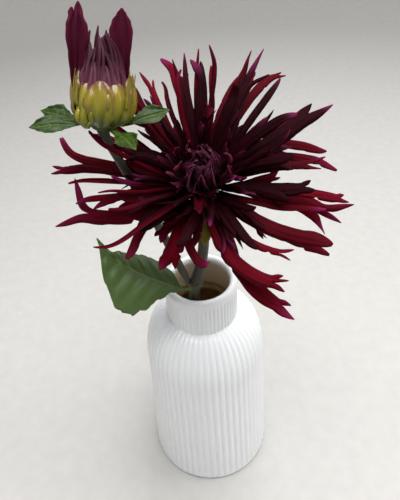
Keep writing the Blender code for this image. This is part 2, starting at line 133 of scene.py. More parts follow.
# =====================================================================  materials
class Mat:
    """A Principled material with short helpers for its nodes."""

    def __init__(self, name, rough=0.5, specular=0.5, **uniform):
        self.mat = bpy.data.materials.new(name)
        self.mat.use_nodes = True
        self.t = self.mat.node_tree
        self.p = self.t.nodes["Principled BSDF"]
        self.p.inputs["Roughness"].default_value = rough
        self.p.inputs["Specular IOR Level"].default_value = specular
        for key, value in uniform.items():
            self.p.inputs[key.replace("_", " ")].default_value = value

    def new(self, kind, **values):
        node = self.t.nodes.new(kind)
        for key, value in values.items():
            setattr(node, key, value)
        return node

    def link(self, a, b):
        self.t.links.new(a, b)

    def put(self, socket, value):
        if hasattr(value, "is_output"):
            self.link(value, socket)
        else:
            socket.default_value = value if not isinstance(value, tuple) or len(value) != 3 or socket.type == "VECTOR" else (*value, 1)

    def to(self, name, value):
        self.put(self.p.inputs[name], value)

    def coord(self, which="Object"):
        return self.new("ShaderNodeTexCoord").outputs[which]

    def attr(self, name, out="Fac"):
        return self.new("ShaderNodeAttribute", attribute_name=name).outputs[out]

    def mapping(self, vector, scale, rotation=(0, 0, 0)):
        node = self.new("ShaderNodeMapping")
        self.link(vector, node.inputs["Vector"])
        node.inputs["Scale"].default_value = scale
        node.inputs["Rotation"].default_value = rotation
        return node.outputs[0]

    def combine(self, x, y, z=0.0):
        node = self.new("ShaderNodeCombineXYZ")
        for socket, value in zip(node.inputs, (x, y, z)):
            self.put(socket, value)
        return node.outputs[0]

    def noise(self, vector, scale, detail=2.0, rough=0.55, distort=0.0):
        node = self.new("ShaderNodeTexNoise")
        self.link(vector, node.inputs["Vector"])
        node.inputs["Scale"].default_value = scale
        node.inputs["Detail"].default_value = detail
        node.inputs["Roughness"].default_value = rough
        node.inputs["Distortion"].default_value = distort
        return node.outputs["Fac"]

    def math(self, op, a, b=0.0, c=0.0, clamp=False):
        node = self.new("ShaderNodeMath", operation=op, use_clamp=clamp)
        for socket, value in zip(node.inputs, (a, b, c)):
            self.put(socket, value)
        return node.outputs[0]

    def mix(self, fac, a, b, blend="MIX"):
        node = self.new("ShaderNodeMix", data_type="RGBA", blend_type=blend)
        self.put(node.inputs[0], fac)
        self.put(node.inputs[6], a)
        self.put(node.inputs[7], b)
        return node.outputs[2]

    def ramp(self, fac, stops, ease="LINEAR"):
        node = self.new("ShaderNodeValToRGB")
        node.color_ramp.interpolation = ease
        els = node.color_ramp.elements
        while len(els) < len(stops):
            els.new(0.5)
        for el, (pos, col) in zip(els, stops):
            el.position = pos
            el.color = (*col, 1) if len(col) == 3 else col
        self.put(node.inputs[0], fac)
        return node.outputs[0]

    def bump(self, height, strength=0.3, distance=0.0005):
        node = self.new("ShaderNodeBump")
        node.inputs["Strength"].default_value = strength
        node.inputs["Distance"].default_value = distance
        self.link(height, node.inputs["Height"])
        self.link(node.outputs[0], self.p.inputs["Normal"])


def floret_material(name, dark, crimson, bright, magenta, reverse, sheen, gloss=0.025, foot=None, dusk=None):
    """Velvety petal: nearly black where it is dark, crimson towards the light, magenta at the tip, dusky on the back.
    glow: 0 dark to 1 bright, the floret's own tone with painted light let through the petal; tip: how magenta, on the
    eye also a painted highlight along the edges; back: 1 on the outer face; along: mm from the base; across: -1 to 1."""
    m = Mat(name, rough=0.5, specular=gloss, Sheen_Weight=sheen, Sheen_Roughness=0.35,
            Sheen_Tint=(0.65, 0.03, 0.14, 1), Subsurface_Weight=0.12,
            Subsurface_Radius=(0.0022, 0.0004, 0.0006), Subsurface_Scale=1.0)
    glow, tip, back = m.attr("glow"), m.attr("tip"), m.attr("back")
    along, across, seed = m.attr("along"), m.attr("across"), m.attr("seed")
    lines = m.combine(m.math("MULTIPLY", across, 5.0), m.math("MULTIPLY", along, 0.05), seed)
    veins = m.noise(lines, 3.2, 3.0, 0.6)
    patches = m.noise(m.combine(across, m.math("MULTIPLY", along, 0.10), seed), 1.3, 2.0)
    shade = m.math("ADD", glow, m.math("MULTIPLY", m.math("SUBTRACT", veins, 0.5), 0.55))
    shade = m.math("ADD", shade, m.math("MULTIPLY", m.math("SUBTRACT", patches, 0.5), 0.45), clamp=True)
    col = m.ramp(shade, [(0.0, dark), (0.45, crimson), (1.0, bright)])
    tipf = m.math("ADD", tip, m.math("MULTIPLY", m.math("SUBTRACT", veins, 0.5), 0.35), clamp=True)
    tipf = m.math("MULTIPLY", tipf, m.math("MULTIPLY", tip, 1.6, clamp=True), clamp=True)
    col = m.mix(tipf, col, magenta)
    if foot:
        low = m.math("SUBTRACT", 1.0, m.math("MULTIPLY", along, 1 / 11.0), clamp=True)
        col = m.mix(m.math("MULTIPLY", low, 1.5, clamp=True), col, foot)
    rev = m.mix(m.math("MULTIPLY", veins, 0.8), reverse, tuple(c * 0.55 for c in reverse))
    col = m.mix(m.math("MULTIPLY", back, 0.62), col, rev)
    if dusk:
        high = m.math("MULTIPLY", m.math("SUBTRACT", m.math("ADD", along, m.math("MULTIPLY", patches, 12.0)), 19.0), 1 / 10.0, clamp=True)
        col = m.mix(m.math("MULTIPLY", high, 0.8), col, dusk)
    m.to("Base Color", col)
    m.to("Roughness", m.math("ADD", m.math("MULTIPLY", veins, 0.22), 0.42))
    m.bump(m.math("ADD", veins, m.math("MULTIPLY", patches, 0.5)), 0.45, 0.00035)
    return m.mat



def scale_material():
    """Waxy inner bract: lime at the belly, olive to the base, purple along the thin upper edge."""
    m = Mat("bract_wax", rough=0.32, specular=0.35, Coat_Weight=0.3, Coat_Roughness=0.10, Subsurface_Weight=0.10,
            Subsurface_Radius=(0.0015, 0.0018, 0.0004), Subsurface_Scale=1.0)
    along, across, seed = m.attr("along"), m.attr("across"), m.attr("seed")
    lines = m.noise(m.combine(m.math("MULTIPLY", across, 1.6), m.math("MULTIPLY", along, 0.06), seed), 1.6, 3.0)
    patch = m.noise(m.combine(across, m.math("MULTIPLY", along, 0.5), seed), 0.22, 2.0)
    t = m.math("ADD", m.math("MULTIPLY", along, 1 / 25.0), m.math("MULTIPLY", m.math("SUBTRACT", patch, 0.5), 0.5))
    col = m.ramp(t, [(0.0, (0.030, 0.066, 0.004)), (0.22, (0.080, 0.104, 0.005)), (0.45, (0.205, 0.178, 0.007)), (0.66, (0.200, 0.142, 0.011)),
                     (0.82, (0.135, 0.068, 0.018)), (1.0, (0.060, 0.016, 0.020))])
    col = m.mix(m.math("MULTIPLY", lines, 0.35), col, (0.085, 0.085, 0.008))
    out = m.math("SUBTRACT", m.math("MULTIPLY", m.math("ABSOLUTE", across), 0.55), 2.2, clamp=True)
    col = m.mix(m.math("MULTIPLY", out, 0.45), col, (0.16, 0.07, 0.03))
    m.to("Base Color", col)
    m.bump(lines, 0.4, 0.0003)
    return m.mat


# =====================================================================  mesh builders
def closed_shell(name, verts, faces, half, attrs, mats, mat_index=None):
    """Gives an open surface its thickness: a top and a bottom skin and a rim that joins them."""
    v = np.asarray(verts, float)
    n = len(v)
    normal = np.zeros_like(v)
    for f in faces:
        p = v[list(f)]
        if len(f) == 4:
            g = np.cross(p[2] - p[0], p[3] - p[1])
        else:
            g = np.cross(p[1] - p[0], p[2] - p[0])
        for i in f:
            normal[i] += g
    length = np.linalg.norm(normal, axis=1, keepdims=True)
    normal /= np.where(length > 0, length, 1)
    half = np.asarray(half, float)[:, None]
    both = np.vstack([v + normal * half, v - normal * half])
    edges = {}
    for f in faces:
        for a, b in zip(f, (*f[1:], f[0])):
            edges[(a, b)] = True
    out = [tuple(f) for f in faces] + [tuple(i + n for i in reversed(f)) for f in faces]
    index = list(mat_index or [0] * len(faces)) * 2
    for a, b in edges:
        if (b, a) not in edges:
            out.append((b, a, a + n, b + n))
            index.append(0)
    attrs = {key: np.concatenate([values, values]) for key, values in attrs.items()}
    attrs["back"] = np.concatenate([np.zeros(n), np.ones(n)])
    return solid_mesh(name, both, out, attrs, mats, index)


def solid_mesh(name, verts_mm, faces, attrs, mats, index=None):
    mesh = bpy.data.meshes.new(name)
    mesh.from_pydata((np.asarray(verts_mm, float) * MM).tolist(), [], faces)
    for key, values in attrs.items():
        layer = mesh.attributes.new(key, "FLOAT", "POINT")
        layer.data.foreach_set("value", np.asarray(values, np.float32))
    for m in mats:
        mesh.materials.append(m)
    if len(mats) > 1 and index:
        mesh.polygons.foreach_set("material_index", index)
    mesh.shade_smooth()
    mesh.update()
    obj = bpy.data.objects.new(name, mesh)
    bpy.context.scene.collection.objects.link(obj)
    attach(obj, "root")
    return obj


def smooth(x):
    x = min(1.0, max(0.0, x))
    return x * x * (3 - 2 * x)


def hash1(k, seed):
    v = math.sin(k * 127.1 + seed * 311.7 + 17.3) * 43758.5453
    return v - math.floor(v)


def wander(x, seed):
    """Smooth value noise, -1 to 1."""
    i = math.floor(x)
    a, b = hash1(i, seed), hash1(i + 1, seed)
    return 2 * (a + (b - a) * smooth(x - i)) - 1


def unit(v):
    return v / np.linalg.norm(v)


def turn(v, axis, degrees):
    a = math.radians(degrees)
    return v * math.cos(a) + np.cross(axis, v) * math.sin(a) + axis * (axis @ v) * (1 - math.cos(a))


def table(values, t):
    """Smooth value between (t, value) pairs."""
    if t <= values[0][0]:
        return values[0][1]
    for (a, x), (b, y) in zip(values, values[1:]):
        if t <= b:
            return x + (y - x) * smooth((t - a) / (b - a))
    return values[-1][1]


def even(values, t):
    """Smooth value between evenly spaced entries, t from 0 to 1."""
    x = min(0.999999, max(0.0, t)) * (len(values) - 1)
    i = int(x)
    return values[i] + (values[i + 1] - values[i]) * smooth(x - i)


def spline(points, steps):
    """Points along a Catmull-Rom curve, steps to each span."""
    p = [np.array(q, float) for q in points]
    p = [2 * p[0] - p[1], *p, 2 * p[-1] - p[-2]]
    out = []
    for i in range(1, len(p) - 2):
        a, b, c, d = p[i - 1:i + 3]
        for k in range(steps):
            t = k / steps
            out.append(0.5 * (2 * b + (c - a) * t + (2 * a - 5 * b + 4 * c - d) * t**2 + (3 * b - a - 3 * c + d) * t**3))
    out.append(p[-2])
    return np.array(out)


class Frame:
    """Where a head's own axes point: out(azimuth) lies in its plane and z is its middle."""

    def __init__(self, origin, matrix):
        self.o = np.array(origin, float)
        m = np.array(matrix)
        self.x, self.y, self.z = m[:, 0], m[:, 1], m[:, 2]

    def out(self, az):
        a = math.radians(az)
        return math.cos(a) * self.x + math.sin(a) * self.y

    def at(self, r, az, h):
        return self.o + self.out(az) * r + self.z * h


def rot_x(d):
    c, s = math.cos(math.radians(d)), math.sin(math.radians(d))
    return np.array([[1, 0, 0], [0, c, -s], [0, s, c]])


def rot_y(d):
    c, s = math.cos(math.radians(d)), math.sin(math.radians(d))
    return np.array([[c, 0, s], [0, 1, 0], [-s, 0, c]])


HEAD = Frame((4.7, -21.7, 272.0), rot_x(28.0))
BUD = Frame((-36.5, -26.0, 312.2), rot_y(11.0) @ rot_x(-14.0))


def strap(fr, r0, h0, seat, head, sway, rise, droop, length, width, *, rows=40, cols=8, cup=(-45, -45, -45), base=2.4,
          tip=0.7, profile=None, lobes=(), root=1.0, ragged=0.0, spikes=0, hook=0.0, side_hook=0.0, roll=0.0, roll_span=(0, 1),
          groove=0.25, wig=4.0, wave=0.35, power=1.2, seed=0.0, thick=0.26, glow=(0.1, 0.5, 0.6), magenta=0.0,
          mag_from=0.7, bends=(), start=None, plateau=0.80, fray=1.0):
    """A floret or bract as an open surface: (points in mm, faces, half thickness, attributes).
    It starts on its whorl's circle and runs out along a curve; past root it divides into lobes, each
    (first column, last column, spread, share of the length left, curl, roll, magenta). bends are (t, turn, rise)."""
    fine = rows * 2
    pts, dirs, sides = [fr.at(r0, seat, h0) if start is None else np.array(start, float)], [], []
    for k in range(fine + 1):
        t = k / fine
        grow = smooth(t * 2.5)
        az = head + sway * t**1.5 + side_hook * smooth((t - 0.8) / 0.2) + wig * grow * wander(t * 4 + 0.3, seed + 3)
        el = rise + (droop - rise) * t**power + hook * smooth((t - 0.78) / 0.22) + wig * 0.8 * grow * wander(t * 4.7, seed + 9)
        for at, da, de in bends:
            az += da * smooth((t - at) / 0.08)
            el += de * smooth((t - at) / 0.08)
        e = math.radians(el)
        dirs.append(math.cos(e) * fr.out(az) + math.sin(e) * fr.z)
        sides.append(fr.out(az - 90))
    for k in range(fine):
        pts.append(pts[-1] + (dirs[k] + dirs[k + 1]) / 2 * (length / fine))

    def width_at(t):
        if profile:
            return table(profile, t)
        w = base + (width - base) * smooth(t / 0.34)
        if t > plateau:
            w = tip + (w - tip) * max(0.0, 1 - ((t - plateau) / (1 - plateau)) ** 1.7) ** 0.75
        return w

    tears = []
    for k in range(int(ragged * length / 3.0)):
        tears.append((0.28 + 0.7 * hash1(k, seed + 21), 1 if hash1(k, seed + 22) > 0.5 else -1,
                      0.12 + 0.30 * hash1(k, seed + 23), 0.025 + 0.05 * hash1(k, seed + 24)))

    def edge(t, side):
        e = 1 + fray * (0.10 * wander(t * 7, seed + side * 5 + 31) * smooth(t * 3) + 0.05 * wander(t * 19, seed + side * 5 + 37))
        for at, which, deep, span in tears:
            if which == side and at - span < t < at:
                e -= deep * ((t - at + span) / span) ** 2
        return max(0.25, e)

    def section(t, w):
        """Offsets (across, rise) of the columns at t."""
        angle = table([(0, cup[0]), (0.5, cup[1]), (1, cup[2])], t) if len(cup) == 3 and not isinstance(cup[0], tuple) else table(cup, t)
        half = math.radians(angle)
        half = half if abs(half) > 0.02 else 0.02
        radius = w / (2 * abs(half))
        out = []
        el, er = edge(t, -1), edge(t, 1)
        fold = groove * min(1.0, w / 5) * smooth(t * 3) * (1 - 0.6 * smooth((t - 0.8) / 0.2))
        for j in range(cols + 1):
            u = 2 * j / cols - 1
            u *= 1 + (er - 1 if u > 0 else el - 1) * abs(u)
            x = radius * math.sin(abs(half) * u)
            y = math.copysign(radius * (1 - math.cos(half * u)), half)
            y += wave * (w / 8) * abs(u) ** 2 * math.sin(9 * t + seed * 5 + 1.7 * u)
            y += fold * math.cos(math.pi * 2.9 * u + 0.8 * wander(t * 3, seed + 41))
            out.append((x, y))
        return out

    split = round(root * rows) if lobes else rows
    verts, half, att = [], [], {"along": [], "across": [], "glow": [], "tip": [], "seed": []}
    faces = []

    def add(p, t, u, mag, w, thin=1.0):
        verts.append(p)
        half.append(thick * thin * (1.25 - 0.5 * t) * (1 - 0.55 * abs(u) ** 3))
        att["along"].append(t * length)
        att["across"].append(u * w / 2)
        # glow: the floret's own tone with painted light let through it, from base to tip, a little lower toward the
        # edges
        att["glow"].append(table([(0, glow[0]), (0.5, glow[1]), (1, glow[2])], t) - 0.08 * abs(u) ** 2)
        att["tip"].append(mag)
        att["seed"].append(seed)

    def ribbon(q, d, s, n, long, w, curl, mag, t0, steps=7):
        """A thin torn strip."""
        first = len(verts)
        for k in range(steps + 1):
            tau = k / steps
            d, n = turn(d, s, curl / steps), turn(n, s, curl / steps)
            if k:
                q = q + d * long / steps
            ww = w * (1 - tau**1.6) + 0.15
            for u in (-1, 0, 1):
                add(q + s * ww / 2 * u - n * (0.12 * ww * u * u), t0, u, mag, ww, 0.7)
            if k:
                a = first + 3 * (k - 1)
                for j in (0, 1):
                    faces.append((a + j, a + j + 1, a + j + 4, a + j + 3))

    grid = []
    for i in range(split + 1):
        t = i / rows
        p, d, s = pts[2 * i], dirs[2 * i], sides[2 * i]
        n = np.cross(s, d)
        r = roll * smooth((t - roll_span[0]) / (roll_span[1] - roll_span[0]))
        s, n = turn(s, d, r), turn(n, d, r)
        w = width_at(t)
        row = []
        mag = magenta * smooth((t - mag_from) / (1.02 - mag_from)) if magenta else 0.0
        for j, (x, y) in enumerate(section(t, w)):
            u = 2 * j / cols - 1
            row.append(len(verts))
            add(p + s * x + n * y, t, u, mag, w)
        grid.append(row)
    for a, b in zip(grid, grid[1:]):
        for j in range(cols):
            faces.append((a[j], a[j + 1], b[j + 1], b[j]))
    for k in range(spikes):
        t = 0.35 + 0.6 * hash1(k, seed + 51)
        i = min(split - 1, int(t * rows))
        side = 1 if hash1(k, seed + 52) > 0.5 else -1
        d, s = dirs[2 * i], sides[2 * i]
        n = np.cross(s, d)
        spread = side * (6 + 26 * hash1(k, seed + 53))
        base_at = np.array(verts[grid[i][-1 if side > 0 else 0]]) - s * side * 0.8
        ribbon(base_at, turn(d, n, -spread), turn(s, n, -spread), n, 4 + 9 * hash1(k, seed + 54), 1.3 + 0.9 * hash1(k, seed + 55),
               -40 + 80 * hash1(k, seed + 56), magenta * 0.5 * hash1(k, seed + 57), t)
    if lobes:
        t0 = split / rows
        w0 = width_at(t0)
        sec = section(t0, w0)
        i0 = 2 * split
        d0, s0 = dirs[i0], sides[i0]
        n0 = np.cross(s0, d0)
        r = roll * smooth((t0 - roll_span[0]) / (roll_span[1] - roll_span[0]))
        s0, n0 = turn(s0, d0, r), turn(n0, d0, r)
        left = (1 - t0) * length
        for c0, c1, spread, share, curl, lroll, lmag in lobes:
            steps = max(6, round((rows - split) * max(share, 0.6)))
            mid = (c0 + c1) / 2
            lo, hi = sec[int(math.floor(mid))], sec[int(math.ceil(mid))]
            cx, cy = (lo[0] + hi[0]) / 2, (lo[1] + hi[1]) / 2
            q = pts[i0] + s0 * cx + n0 * cy
            wide = (c1 - c0) / cols * w0
            previous = grid[-1][c0:c1 + 1]
            for k in range(1, steps + 1):
                tau = k / steps
                f = smooth(tau * 1.6)
                d = turn(d0, n0, spread * f)
                s = turn(s0, n0, spread * f)
                n = np.cross(s, d)
                d, n = turn(d, s, curl * tau), turn(n, s, curl * tau)
                s, n = turn(s, d, lroll * tau), turn(n, d, lroll * tau)
                q = q + d * (left * share / steps)
                w = wide * (1 + 0.12 * wander(tau * 4, seed + c0)) * max(0.0, 1 - tau**2.4) + 0.45 * tau
                row = []
                t = t0 + (1 - t0) * share * tau
                for j in range(c0, c1 + 1):
                    uu = (j - mid) / max((c1 - c0) / 2, 0.5)
                    a = np.array([sec[j][0] - cx, sec[j][1] - cy]) * (w / wide)
                    b = np.array([uu * w / 2, -0.18 * w * uu * uu])
                    x, y = a * (1 - f) + b * f
                    row.append(len(verts))
                    mag = max(magenta * smooth((t - mag_from) / (1.02 - mag_from)) if magenta else 0.0, lmag * smooth(tau * 1.2))
                    add(q + s * x + n * y, t, uu, mag, w)
                for j in range(c1 - c0):
                    faces.append((previous[j], previous[j + 1], row[j + 1], row[j]))
                previous = row
    return verts, faces, half, att


def join(parts):
    """Several open surfaces as one, kept apart."""
    verts, faces, half, att = [], [], [], {}
    for v, f, h, a in parts:
        k = len(verts)
        verts += list(v)
        faces += [tuple(i + k for i in face) for face in f]
        half += list(h)
        for key, values in a.items():
            att.setdefault(key, []).extend(values)
    return verts, faces, half, att


def floret(name, node, mat, slot, *args, **kw):
    v, f, h, a = strap(*args, **kw)
    return dress(closed_shell(name, v, f, h, a, [mat]), slot, node)


def dress(obj, slot, *nodes):
    for node in nodes:
        if node:
            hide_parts(node)
    return obj


def tube(name, path, radius, mat, slot, node, sides=20, ridges=7, depth=0.05):
    """A stem: radius(s) in mm along the path, faintly ridged, with closed ends."""
    path = np.asarray(path, float)
    n = len(path)
    tangents = np.gradient(path, axis=0)
    tangents /= np.linalg.norm(tangents, axis=1, keepdims=True)
    side = unit(np.cross(tangents[0], (0.0, 1.0, 0.0)))
    verts, att = [], {"along": [], "round": []}
    run = np.concatenate([[0], np.cumsum(np.linalg.norm(np.diff(path, axis=0), axis=1))])
    for i in range(n):
        side = unit(side - tangents[i] * (side @ tangents[i]))
        up = np.cross(tangents[i], side)
        r = radius(i / (n - 1), path[i])
        for j in range(sides):
            a = 2 * math.pi * j / sides
            rr = r * (1 + depth * math.cos(ridges * a + 0.4 * math.sin(run[i] / 30)) + 0.02 * wander(run[i] / 6, j * 0.3))
            verts.append(path[i] + (side * math.cos(a) + up * math.sin(a)) * rr)
            att["along"].append(run[i])
            att["round"].append(j / sides)
    faces = []
    for i in range(n - 1):
        for j in range(sides):
            k = (j + 1) % sides
            faces.append((i * sides + j, i * sides + k, (i + 1) * sides + k, (i + 1) * sides + j))
    faces.append(tuple(reversed(range(sides))))
    faces.append(tuple(range((n - 1) * sides, n * sides)))
    return dress(solid_mesh(name, verts, faces, att, [mat]), slot, node)


def lathe(name, profile, cols, shape, mat, slot, node, frame=None, mark=None):
    """A turned piece, profile (r, z) in mm from the bottom middle out, up and back to the middle. shape(r, z, a, k) gives
    each point's radius; mark(k) its attribute value."""
    verts, att = [], {"mark": []}
    rings = []
    for k, (r, z) in enumerate(profile):
        if r == 0:
            rings.append([len(verts)] * cols)
            verts.append((0.0, 0.0, z))
            att["mark"].append(mark(k) if mark else 0.0)
            continue
        ring = []
        for j in range(cols):
            a = 2 * math.pi * j / cols
            rr = shape(r, z, a, k)
            ring.append(len(verts))
            verts.append((rr * math.cos(a), rr * math.sin(a), z))
            att["mark"].append(mark(k) if mark else 0.0)
        rings.append(ring)
    faces = []
    for low, high in zip(rings, rings[1:]):
        for j in range(cols):
            k = (j + 1) % cols
            f = [low[j], low[k], high[k], high[j]]
            f = [x for i, x in enumerate(f) if x not in f[:i]]
            if len(f) > 2:
                faces.append(tuple(f))
    verts = np.array(verts)
    if frame is not None:
        verts = frame.o + verts[:, :1] * frame.x + verts[:, 1:2] * frame.y + verts[:, 2:] * frame.z
    return dress(solid_mesh(name, verts, faces, att, [mat]), slot, node)


# =====================================================================  vase
def glaze():
    m = Mat("white_glaze", rough=0.30, specular=0.45, Coat_Weight=0.25, Coat_Roughness=0.16)
    inside = m.attr("mark")
    z = m.new("ShaderNodeSeparateXYZ")
    m.link(m.coord("Object"), z.inputs[0])
    spots = m.noise(m.coord("Object"), 60.0, 3.0)
    white = m.mix(spots, (0.785, 0.805, 0.83), (0.825, 0.84, 0.86))
    level = m.math("MULTIPLY", m.math("SUBTRACT", z.outputs[2], 0.140), 20.0, clamp=True)
    patch = m.noise(m.mapping(m.coord("Object"), (1, 1, 2.5)), 45.0, 4.0)
    level = m.math("ADD", level, m.math("MULTIPLY", m.math("SUBTRACT", patch, 0.5), 0.25), clamp=True)
    # inside: clay, tan up the neck and browner below it, the brown partly painted shade; a dark band of painted shade
    # marks the inner step where the neck turns out into the shoulder
    clay_and_shade = m.ramp(level, [(0.0, (0.62, 0.42, 0.20)), (0.42, (0.70, 0.50, 0.27)), (0.5, (0.26, 0.16, 0.07)),
                          (0.56, (0.60, 0.48, 0.32)), (1.0, (0.68, 0.58, 0.45))])
    m.to("Base Color", m.mix(inside, white, clay_and_shade))
    fine = m.noise(m.coord("Object"), 500.0, 2.0)
    m.bump(fine, 0.05, 0.0001)
    return m.mat


def vase():
    ribs = 56
    body = [(0.0, 0.0), (20.0, 0.0), (44.0, 0.0), (45.4, 0.25), (46.6, 0.9), (47.3, 1.9), (47.65, 3.4)]
    body += [(47.8 - 5.8 * z / 118, z) for z in (6, 10, 16, 24, 34, 46, 58, 70, 82, 94, 104, 112)]
    power, core = 2.3, 20.0
    shoulder = []
    for k in range(27):
        a = math.pi / 2 * k / 26
        r = core + 22.0 * max(0.0, math.cos(a)) ** (2 / power)
        z = 118 + 42.0 * math.sin(a) ** (2 / power)
        if r > 24.6:
            shoulder.append((r, z))
    body += shoulder
    body += [(24.15, 159.4), (23.9, 160.2), (23.8, 161.5), (23.8, 166), (23.8, 172), (23.8, 178), (23.8, 181.5), (23.85, 183),
             (23.85, 184.6), (23.7, 186.4), (23.3, 187.7), (22.6, 188.6), (21.7, 189.0), (20.7, 188.9), (19.8, 188.3),
             (19.2, 187.3), (18.9, 186.0), (18.8, 184)]
    turn_in = len(body) - 2
    body += [(18.8, 178), (18.8, 171), (18.8, 164), (19.0, 160.5), (19.8, 157.5), (22, 154.5), (26, 151), (30, 146), (33.6, 139),
             (36.2, 130), (37.5, 118), (39.5, 80), (41.6, 40), (43.1, 12), (42.4, 8.4), (39.3, 6.2), (20, 6.0), (0.0, 6.0)]
    outer_end = turn_in - 10

    def shape(r, z, a, k):
        if k > outer_end or r < 20 or z < 1.0 or z > 185.0:
            return r
        deep = 1.15
        if z > 158.5:
            deep = 0.68 * smooth((185.0 - z) / 2.0)
        elif z > 118:
            deep = 1.15 - 0.40 * smooth((z - 124) / 32)
        deep *= smooth((z - 1.0) / 4.0)
        return r - deep * (1 - abs(math.cos(ribs * a / 2)) ** 0.9)

    lathe("vase_ribbed", body, ribs * 8, shape, glaze(), "white_glaze", "vase", mark=lambda k: 1.0 if k > turn_in else 0.0)


# =====================================================================  stems and leaf
STEM_ROUTE = [(-22, 4, 6.8), (-14, -5, 100), (-4, -13.5, 189), (-2.2, -13.6, 200), (1.5, -12.2, 215), (3.5, -11.2, 228),
              (4.4, -11.4, 245), (4.7, -15.9, 261)]
BUD_STEM_ROUTE = [(-7.2, -15, 200), (-9.2, -15.8, 208), (-12.5, -16.4, 220), (-18.2, -18.3, 241), (-25, -23.5, 267),
                  (-30.6, -26, 287), (-35.7, -26.9, 302.6), (-37.2, -26.9, 309.6)]
LEAF_MIDRIB = [(-5.6, -19.6, 199.2), (-12, -20.2, 201), (-20, -18, 203.5), (-30, -14.5, 206), (-40, -10.5, 210),
               (-50, -6.5, 217), (-58, -3.5, 229.5)]


def stem_material():
    m = Mat("stem_skin", rough=0.5, specular=0.35)
    lines = m.noise(m.combine(m.math("MULTIPLY", m.attr("round"), 26.0), m.math("MULTIPLY", m.attr("along"), 0.10)), 1.4, 4.0)
    blotch = m.noise(m.coord("Object"), 80.0, 3.0)
    shade = m.math("ADD", m.math("MULTIPLY", lines, 0.65), m.math("MULTIPLY", blotch, 0.4))
    m.to("Base Color", m.ramp(shade, [(0.25, (0.012, 0.010, 0.007)), (0.5, (0.034, 0.030, 0.017)), (0.75, (0.085, 0.070, 0.040))]))
    m.bump(lines, 0.5, 0.0003)
    return m.mat


def stems():
    skin = stem_material()

    def main(t, p):
        swell = 0.9 * math.exp(-((p[2] - 199.5) / 4.0) ** 2) + 0.5 * math.exp(-((p[2] - 258) / 5.0) ** 2)
        return 3.1 * even((1.06, 1.05, 1.05, 1.12, 1.0, 1.0, 1.0), t) + swell

    def side(t, p):
        return 2.3 * even((0.75, 1.0, 1.0, 0.92, 0.85, 0.8), t) + 0.7 * smooth((p[2] - 303) / 6)

    tube("main_stem_skin", spline(STEM_ROUTE, 14), main, skin, "stem_green", "main_stem")
    tube("bud_stem_skin", spline(BUD_STEM_ROUTE, 12), side, skin, "stem_green", "bud_stem", ridges=5)


def green_material(name, dark, light, vein, rough=0.42, spacing=8.0, lean=0.85, gloss=0.4, painted_light_low=0.0):
    """Leaf skin: a net of fine veins between side veins that lean to the tip, paler below with painted light."""
    m = Mat(name, rough=rough, specular=gloss, Subsurface_Weight=0.08, Subsurface_Radius=(0.0006, 0.0012, 0.0003),
            Subsurface_Scale=1.0)
    along, across = m.attr("along"), m.attr("across")
    out = m.math("ABSOLUTE", across)
    wob = m.noise(m.combine(along, across), 0.12, 2.0)
    q = m.math("SUBTRACT", along, m.math("MULTIPLY", out, lean))
    q = m.math("ADD", q, m.math("MULTIPLY", wob, 5.0))
    saw = m.math("PINGPONG", q, spacing / 2)
    side = m.math("SUBTRACT", 1.0, m.math("MULTIPLY", saw, 1.6), clamp=True)
    mid = m.math("SUBTRACT", 1.0, m.math("MULTIPLY", out, 1.1), clamp=True)
    vor = m.new("ShaderNodeTexVoronoi", feature="DISTANCE_TO_EDGE")
    m.link(m.combine(along, across), vor.inputs["Vector"])
    vor.inputs["Scale"].default_value = 0.75
    net = m.math("SUBTRACT", 1.0, m.math("MULTIPLY", vor.outputs["Distance"], 7.0), clamp=True)
    patch = m.noise(m.combine(along, across), 0.25, 3.0)
    col = m.ramp(patch, [(0.3, dark), (0.72, light)])
    col = m.mix(m.math("MULTIPLY", net, 0.16), col, vein)
    col = m.mix(m.math("MULTIPLY", side, 0.30), col, vein)
    # painted light: the leaf's lower half made paler, as lit
    if painted_light_low:
        low = m.math("MULTIPLY", m.math("MULTIPLY", m.attr("low"), painted_light_low), 1.0, clamp=True)
        col = m.mix(low, col, tuple(min(1, 1.9 * c + 0.025) for c in light))
    col = m.mix(m.math("MULTIPLY", mid, 0.75), col, vein)
    back = m.attr("back")
    col = m.mix(m.math("MULTIPLY", back, 0.5), col, tuple(min(1, 1.5 * c + 0.006) for c in light))
    m.to("Base Color", col)
    relief = m.math("ADD", m.math("MULTIPLY", side, -0.6), m.math("ADD", m.math("MULTIPLY", mid, -0.8), m.math("MULTIPLY", net, -0.25)))
    m.bump(m.math("ADD", relief, m.math("MULTIPLY", patch, 0.6)), 0.35, 0.0005)
    return m.mat


